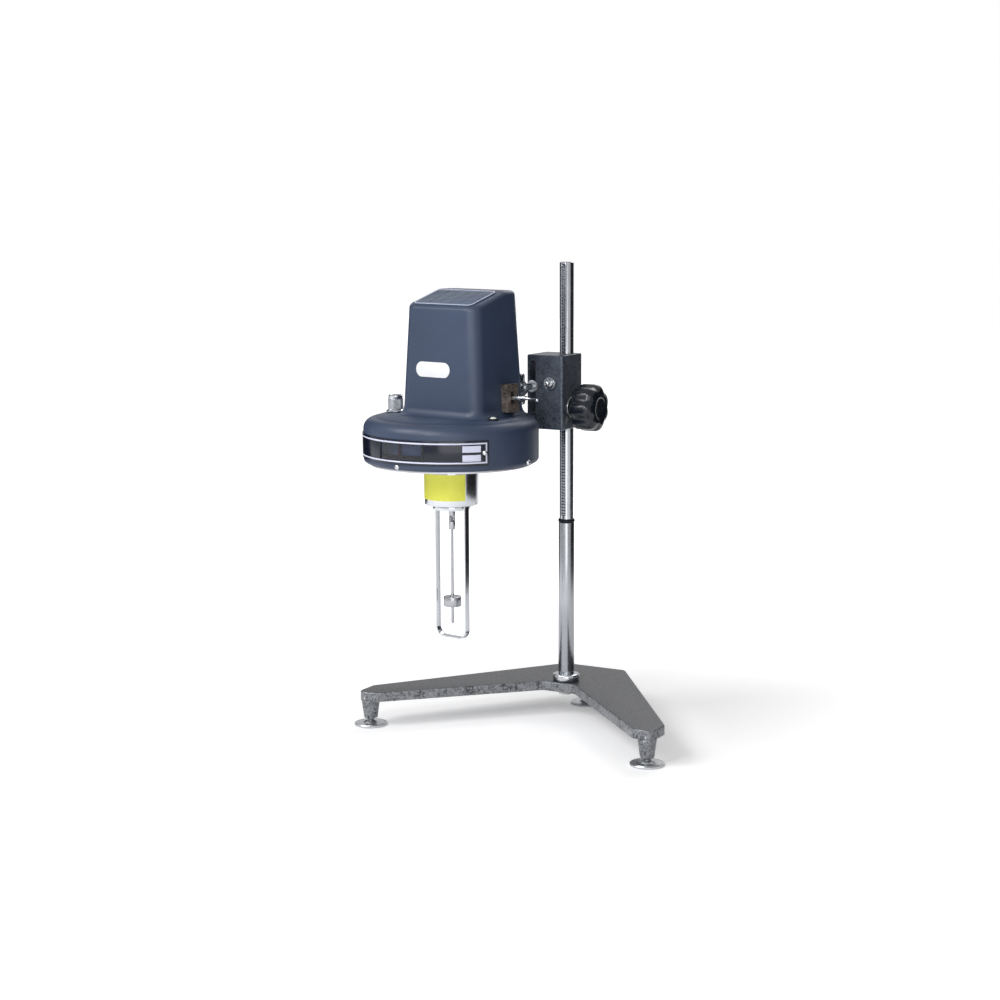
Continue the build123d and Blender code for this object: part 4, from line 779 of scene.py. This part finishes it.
class StripOperator(bpy.types.Operator):
    """Finish the dark front strip with its pale outline, bare fields and window"""

    bl_idname = "viscometer.strip"
    bl_label = "Front strip"

    def execute(self, context):
        skin("front_strip", "film", 0.15)
        skin("dial_window", "window")
        wide = context.scene.viscometer_sizes.outline_width / MM
        half = math.degrees(wide / FILM_RADIUS) / 2
        low, high = OUTLINE_LOW + wide, OUTLINE_HIGH - wide
        bm = bmesh.new()
        for z in (high, OUTLINE_LOW):
            arc_sheet(bm, PRINT_RADIUS, OUTLINE_HALF, 0, z, z + wide, PRINT_THICK, 96)
        for side in (-1, 1):
            middle = side * (OUTLINE_HALF - half)
            arc_sheet(bm, PRINT_RADIUS, half, middle, low, high, PRINT_THICK, 2)
        beside(bm, "strip_outline", "line", "front_strip")
        bm = bmesh.new()
        for low in (297.0, 306.0):
            arc_sheet(bm, PRINT_RADIUS, 5.9, 53.5, low, low + 6.4, 0.1, 8)
        beside(bm, "strip_fields", "line", "front_strip")
        bm = bmesh.new()
        thick = 0.25
        for middle in (22.6, -10.6):
            arc_sheet(bm, PRINT_RADIUS, 0.5, middle, 296.4, 313.6, thick, 2)
        for low in (296.2, 313.0):
            arc_sheet(bm, PRINT_RADIUS, 16.5, 6.0, low, low + 0.8, thick, 24)
        beside(bm, "window_bezel", "plastic", "front_strip")
        return {"FINISHED"}


class PanelOperator(bpy.types.Operator):
    """Finish the sloped panel on the tower with its trim line and ruled table"""

    bl_idname = "viscometer.panel"
    bl_label = "Sloped panel"

    def execute(self, context):
        front, low, rise, depth, top = -18.0, 445.0, 15.0, 50.0, 1.2
        slope = turned(math.degrees(math.atan2(rise, depth)), "X")
        place = HEAD @ at(0, front + depth / 2, low + rise / 2) @ slope
        outer = rounded(-39.4, 39.4, -22.0, 22.0, 6.0, 8)
        inner = rounded(-38.2, 38.2, -20.8, 20.8, 5.0, 8)
        high = top + PRINT_THICK
        trim = ring_band(((outer, top), (outer, high), (inner, high), (inner, top)), place)
        beside(trim, "panel_trim", "line", "top_table")
        beside(self.rules(place, top), "panel_rules", "mark", "top_table")
        return {"FINISHED"}

    def rules(self, place, top):
        """Plain table of nine level lines and six upright ones."""
        tree = rule_tree()
        bm = bmesh.new()
        line, thick, wide, tall = 0.45, 0.16, 68, 32
        for many, start, step, size in (
            (9, (0, -tall / 2, top), (0, tall / 8, 0), (wide, line, thick)),
            (6, (-wide / 2, 0, top), (wide / 5, 0, 0), (line, tall, thick)),
        ):
            values = {"Start": start, "Step": step, "Size": size}
            values = {"Count": many, **{key: Vector(v) * MM for key, v in values.items()}}
            joined(bm, grown("rules", tree, values, "mark"), place)
        return bm


class SpeedKnobOperator(bpy.types.Operator):
    """Make the plated speed knob with its knurl and index line"""

    bl_idname = "viscometer.speed_knob"
    bl_label = "Speed knob"

    def execute(self, context):
        place = HEAD @ at(-65.5, -12.0, DISC_TOP + 0.3)
        profile = [
            (0, 0), (9.4, 0), (10, 0.5), (10, 1.1), (9.6, 1.5), (8.2, 2.6), (7.3, 3.0), (7.3, 13.6),
            (7.6, 14.2), (7.5, 17.0), (6.9, 17.7), (6.0, 17.9), (5.4, 17.4), (0, 17.3),
        ]
        ribs = context.scene.viscometer_sizes.speed_ribs
        bm = knurled(profile, place, 64, ribs, 7.35, 0.6, 3.4, 13.4)
        flat_bar(bm, -0.4, 0.4, -7.4, -5.6, 14.0, 17.85, place)
        instead(bm, "speed_knob", "nickel")
        dress("speed_shaft", "zinc")
        return {"FINISHED"}


class BubbleLevelOperator(bpy.types.Operator):
    """Make the round spirit level with its dome"""

    bl_idname = "viscometer.bubble_level"
    bl_label = "Bubble level"

    def execute(self, context):
        place = HEAD @ at(66.6, -12.7, DISC_TOP)
        rim = [
            (0, 0), (4.9, 0), (5, 0.2), (5, 1.8), (4.7, 2.2), (3.9, 2.3), (3.5, 2.1), (3.4, 1.5),
            (0, 1.4),
        ]
        mesh = closed_mesh(lathe(bmesh.new(), rim, place), "level_case")
        deliver(mesh, "level_case", "plastic", "bubble_level")
        dome = [(0, 1.5), (3.3, 1.5), (3.4, 2.2), (2.9, 2.9), (2.0, 3.4), (1.0, 3.65), (0, 3.7)]
        beside(lathe(bmesh.new(), dome, place), "level_dome", "spirit", "bubble_level", 60)
        return {"FINISHED"}


class LeverOperator(bpy.types.Operator):
    """Finish the bracket and lever that lift the pointer off"""

    bl_idname = "viscometer.lever"
    bl_label = "Pointer lever"

    def execute(self, context):
        skin("lever_bracket", "bracket", 0.35)
        skin("lever_pin", "zinc")
        skin("pointer_lever", "nickel", 0.25)
        return {"FINISHED"}


class RearOperator(bpy.types.Operator):
    """Finish the mounting bracket, the switch and the mains inlet at the back"""

    bl_idname = "viscometer.rear"
    bl_label = "Rear fittings"

    def execute(self, context):
        skin("head_bracket", "nickel", 0.5)
        skin("switch_frame", "plastic", 0.3)
        skin("switch_rocker", "plastic", 0.4)
        skin("power_inlet", "plastic", 0.3)
        place = HEAD @ at(-17.0, REAR_WALL, REAR_MIDDLE) @ turned(-90, "X")
        wide, tall, deep, mouth = 1.06, 2.06, -14.9, -4.9
        bm = bmesh.new()
        for x, y in ((-7, 1.5), (0, -2.5), (7, 1.5)):
            flat_bar(bm, x - wide, x + wide, y - tall, y + tall, deep, mouth, place)
        beside(bm, "inlet_blades", "brass", "power_inlet")
        return {"FINISHED"}


class ScrewOperator(bpy.types.Operator):
    """Make the domed screws of the head"""

    bl_idname = "viscometer.screws"
    bl_label = "Screws"

    def execute(self, context):
        places = [(way, DISC_RADIUS, 289.8) for way in (4.0, 100.0, 184.0, -80.0)]
        places += [(way, FILM_RADIUS, 305.0) for way in (62.1, -62.1)]
        spots = [outward(way) * radius + Vector((0, 0, z)) for way, radius, z in places]
        ways = [outward(way) for way, _, _ in places]
        lean = Vector((0, TOWER_RISE, REAR_LEAN)).normalized()
        up = Vector((0, -REAR_LEAN, TOWER_RISE)).normalized()
        centre = Vector((23.0, REAR_WALL, REAR_MIDDLE)) + lean * 6.0
        for x in (-17.0, 17.0):
            for y in (-12.0, 12.0):
                spots.append(centre + Vector((x, 0, 0)) + up * y)
                ways.append(lean)
        s = context.scene.viscometer_sizes
        values = {"Radius": s.screw_radius, "Rise": s.screw_rise, "Slot": s.screw_slot}
        spots = [spot * MM for spot in spots]
        mesh = grown("head_screws", screw_tree(), values, "nickel", spots, ways)
        mesh.transform(HEAD)
        deliver(mesh, "head_screws_finished", "nickel", "head_screws")
        return {"FINISHED"}


class DriveOperator(bpy.types.Operator):
    """Finish the motor, gears and plates inside the head"""

    bl_idname = "viscometer.drive"
    bl_label = "Drive"

    def execute(self, context):
        skin("motor", "can", 0.4)
        skin("motor_pinion", "zinc")
        skin("cluster_gear", "brass")
        skin("output_gear", "brass")
        skin("gear_plate", "sheet", 0.2)
        skin("motor_plate", "sheet", 0.2)
        skin("plate_pillars", "sheet", 0.3)
        skin("shaft_bushes", "bronze", 0.3)
        skin("pointer_shaft", "stainless", 0.2)
        skin("hairspring", "bronze")
        return {"FINISHED"}


class DialOperator(bpy.types.Operator):
    """Finish the dial with its marks and numbers, and the red pointer"""

    bl_idname = "viscometer.dial"
    bl_label = "Dial"

    def execute(self, context):
        skin("dial", "white", 0.15)
        skin("pointer", "red", 0.1)
        marks = context.scene.viscometer_sizes.dial_marks
        tree = mark_tree()
        bm = bmesh.new()
        for many, wide, high in ((marks, 0.35, 3.0), (marks // 5, 0.6, 4.6)):
            values = {
                "Count": many, "Radius": (DIAL_RADIUS + 0.02) * MM, "Width": wide * MM,
                "Height": high * MM,
            }
            place = HEAD @ at(0, 0, DIAL_TOP - 0.4 - high / 2)
            joined(bm, grown("marks", tree, values, "mark"), place)
        for i in range(10):
            self.number(bm, i * 10, 36.0 * i)
        beside(bm, "dial_print", "mark", "dial")
        return {"FINISHED"}

    def number(self, bm, value, way):
        """Adds one number of the dial, as a thin mesh on its rim."""
        words = bpy.data.curves.new("number", "FONT")
        words.body = str(value)
        words.size = 4.2 * MM
        words.extrude = 0.05 * MM
        words.align_x = "CENTER"
        mesh = settled(bpy.data.objects.new("number", words))
        bpy.data.curves.remove(words)
        stand = at(0, -DIAL_RADIUS - 0.06, DIAL_TOP - 10.6)
        joined(bm, mesh, HEAD @ turned(way, "Z") @ stand @ turned(90, "X"))


class CollarOperator(bpy.types.Operator):
    """Finish the collar, its label, the guard and the spindle with its joint"""

    bl_idname = "viscometer.collar"
    bl_label = "Collar, guard and spindle"

    def execute(self, context):
        skin("collar", "nickel", 0.3)
        radius, half, middle, low, high, thick = 28.1, 90, -20, 248.0, 275.0, 0.35
        bm = arc_sheet(bmesh.new(), radius, half, middle, low, high, thick, 64)
        instead(bm, "collar_label", "yellow")
        skin("guard", "nickel", 0.35)
        skin("coupling_upper", "stainless", 0.25)
        skin("coupling_cross", "stainless", 0.15)
        skin("coupling_lower", "stainless", 0.25)
        low, high, tip, top = 134.0, 144.0, 115.5, 221.5
        profile = [
            (0, tip), (0.8, tip), (1.3, tip + 0.5), (1.5, tip + 1.5), (1.5, low), (9.0, low),
            (9.25, low + 0.15), (9.35, low + 0.4), (9.35, high - 0.4), (9.25, high - 0.15),
            (9.0, high), (2.7, high), (2.1, high + 0.5), (1.6, high + 2.5), (1.5, high + 3.5),
            (1.5, top), (0, top),
        ]
        instead(lathe(bmesh.new(), profile, HEAD, 64), "spindle", "stainless")
        return {"FINISHED"}


class BaseOperator(bpy.types.Operator):
    """Finish the cast base and the levelling feet with their threads"""

    bl_idname = "viscometer.base"
    bl_label = "Base and feet"

    def execute(self, context):
        # painted shade: the base's upward faces take a darker copy of its hammertone
        skin("base_casting", "base", 0.0, 25, "base_top")
        pitch = context.scene.viscometer_sizes.thread_pitch / MM
        pad = [
            (0, 0), (16.6, 0), (17.3, 0.3), (17.5, 0.8), (17.5, 2.1), (17.2, 2.5), (16.6, 2.6),
            (15.8, 2.6), (15.6, 2.4), (15.2, 2.4), (15.0, 2.7), (7.8, 3.2), (7.5, 3.5),
            (5.2, 5.0), (4.7, 5.35), (4.4, 5.4), (3.1, 5.4), (3.0, 4.0), (0, 4.0),
        ]
        for name, spot in FOOT_SPOTS.items():
            place = STAND @ at(*spot, 0)
            instead(lathe(bmesh.new(), pad, place), "foot_pad_" + name, "foot", 30)
            node = "foot_stud_" + name
            deliver(self.stud(place, pitch, node), node + "_finished", "zinc", node)
        return {"FINISHED"}

    def stud(self, place, pitch, name):
        """Core of a stud with its thread wound round it."""
        low, high, radius, core = 6.4, 27.5, 3.32, 3.3
        profile = [
            (0, 1.4), (2.7, 1.4), (3.0, 1.7), (3.0, 5.5), (core, 5.6), (core, high + 3.6),
            (2.9, high + 4.0), (0, high + 4.0),
        ]
        bm = lathe(bmesh.new(), profile, place, 40)
        bmesh.ops.recalc_face_normals(bm, faces=bm.faces)
        values = {
            "Radius": radius * MM, "Pitch": pitch * MM, "Turns": (high - low) / pitch,
            "Height": (high - low) * MM,
        }
        joined(bm, grown("thread", thread_tree(), values, "zinc"), place @ at(0, 0, low))
        return mesh_from(bm, name)


class ColumnOperator(bpy.types.Operator):
    """Finish the column, its rack, sleeve, ring, flange and fastening"""

    bl_idname = "viscometer.column"
    bl_label = "Column"

    def execute(self, context):
        skin("column_rod", "column", 0.0, 25)
        skin("rack", "rack", 0.0)
        skin("column_sleeve", "sleeve", 0.3)
        skin("column_ring", "dark_ring", 0.0, 50)
        skin("column_flange", "nickel", 0.0, 50)
        skin("column_washer", "zinc", 0.2)
        skin("column_nut", "zinc", 0.4)
        return {"FINISHED"}


class SliderOperator(bpy.types.Operator):
    """Finish the slider block with its bush, brake and clamp"""

    bl_idname = "viscometer.slider"
    bl_label = "Slider"

    def execute(self, context):
        skin("slider_block", "hammer", 0.0, 25)
        skin("pinion_bush", "zinc", 0.3)
        skin("pinion_shaft", "zinc", 0.1)
        skin("brake_pad", "nylon", 0.1)
        skin("mounting_stud", "nickel", 0.4)
        mesh = welded("clamp_washers", 0.2)
        # a hair thinner than the solids, so that the washers clear the block as they slide
        for corner in mesh.vertices:
            corner.co -= corner.normal * (0.03 * MM)
        deliver(mesh, "clamp_washers_finished", "zinc", "clamp_washers")
        s = context.scene.viscometer_sizes
        place = STAND @ at(-1.0, -33.0, 362.0) @ turned(90, "X")
        profile = [
            (0, -19.5), (3.7, -19.5), (4.0, -19.2), (4.0, 0), (5.6, 0), (6.0, 0.4), (6.0, 4.4),
            (5.6, 5.0), (3.3, 5.3), (3.0, 5.6), (3.0, 11.0), (2.7, 11.7), (2.0, 12.0), (0, 12.0),
        ]
        bm = knurled(profile, place, 48, s.brake_ribs, 6.05, 0.55, 0.5, 4.5)
        instead(bm, "brake_screw", "nickel")
        place = STAND @ at(-23.6, 14.5, 358.0) @ turned(-90, "X")
        profile = [
            (3.3, 0), (8.8, 0), (9.3, 0.5), (9.3, 8.4), (8.8, 9.0), (5.0, 9.0), (4.6, 8.7),
            (3.3, 8.7), (3.3, 0),
        ]
        instead(knurled(profile, place, 48, s.nut_ribs, 9.35, 0.65, 0.6, 8.4), "clamp_nut", "zinc")
        return {"FINISHED"}


class LiftKnobOperator(bpy.types.Operator):
    """Make the lobed lifting knob with its dished face"""

    bl_idname = "viscometer.lift_knob"
    bl_label = "Lifting knob"

    def execute(self, context):
        s = context.scene.viscometer_sizes
        big, deep, lobes = s.knob_radius / MM, s.knob_depth / MM, s.knob_lobes
        start = math.pi / 2 / lobes
        bore, steps = 4.2, 168

        def wave(way, radius):
            share = min(1.0, max(0.0, radius - 13.0) / 8.0)
            hollow = (0.5 - 0.5 * math.cos(lobes * (way - start))) ** 1.5
            return radius - deep * share * hollow

        profile = [
            (bore, -5.0), (11.6, -5.0), (12, -4.6), (12, -0.2), (12.6, 0), (big - 5.0, 0.0),
            (big - 2.6, 0.5), (big - 0.9, 1.7), (big - 0.2, 3.6), (big, 6.0), (big, 17.5),
            (big - 0.3, 19.5), (big - 1.1, 21.4), (big - 2.6, 23.2), (big - 4.8, 24.6),
            (big - 7.5, 25.5), (big - 10.5, 25.95), (12.0, 25.8), (11.0, 25.2), (10.0, 24.9),
            (5.0, 25.1), (0, 25.2),
        ]
        place = STAND @ at(21.4, -13.05, 336.0) @ turned(90, "Y")
        bm = lathe(bmesh.new(), profile, place, steps, wave)
        lathe(bm, [(bore, -5.0), (bore, 13.0), (0, 13.0)], place, steps)
        bmesh.ops.remove_doubles(bm, verts=bm.verts, dist=1e-6)
        instead(bm, "lift_knob", "knob", 50)
        return {"FINISHED"}


OPERATORS = (
    FinishesOperator, StageOperator, CasingOperator, StripOperator, PanelOperator,
    SpeedKnobOperator, BubbleLevelOperator, LeverOperator, RearOperator, ScrewOperator,
    DriveOperator, DialOperator, CollarOperator, BaseOperator, ColumnOperator, SliderOperator,
    LiftKnobOperator,
)


class ViscometerPanel(bpy.types.Panel):
    """Sidebar panel with the sizes, the colours and the pieces"""

    bl_idname = "VIEW3D_PT_viscometer"
    bl_label = "Viscometer"
    bl_space_type = "VIEW_3D"
    bl_region_type = "UI"
    bl_category = "Viscometer"

    def draw(self, context):
        for group in (context.scene.viscometer_sizes, context.scene.viscometer_colours):
            for name in group.__annotations__:
                self.layout.prop(group, name)
        for kind in OPERATORS:
            self.layout.operator(kind.bl_idname)


CLASSES = (ViscometerColours, ViscometerSizes, *OPERATORS, ViscometerPanel)


def register():
    for kind in CLASSES:
        bpy.utils.register_class(kind)
    bpy.types.Scene.viscometer_colours = PointerProperty(type=ViscometerColours)
    bpy.types.Scene.viscometer_sizes = PointerProperty(type=ViscometerSizes)


def unregister():
    del bpy.types.Scene.viscometer_sizes
    del bpy.types.Scene.viscometer_colours
    for kind in reversed(CLASSES):
        bpy.utils.unregister_class(kind)


def build():
    """Makes every piece in order."""
    register()
    for kind in OPERATORS:
        group, name = kind.bl_idname.split(".")
        getattr(getattr(bpy.ops, group), name)()


if __name__ == "__main__":
    build()
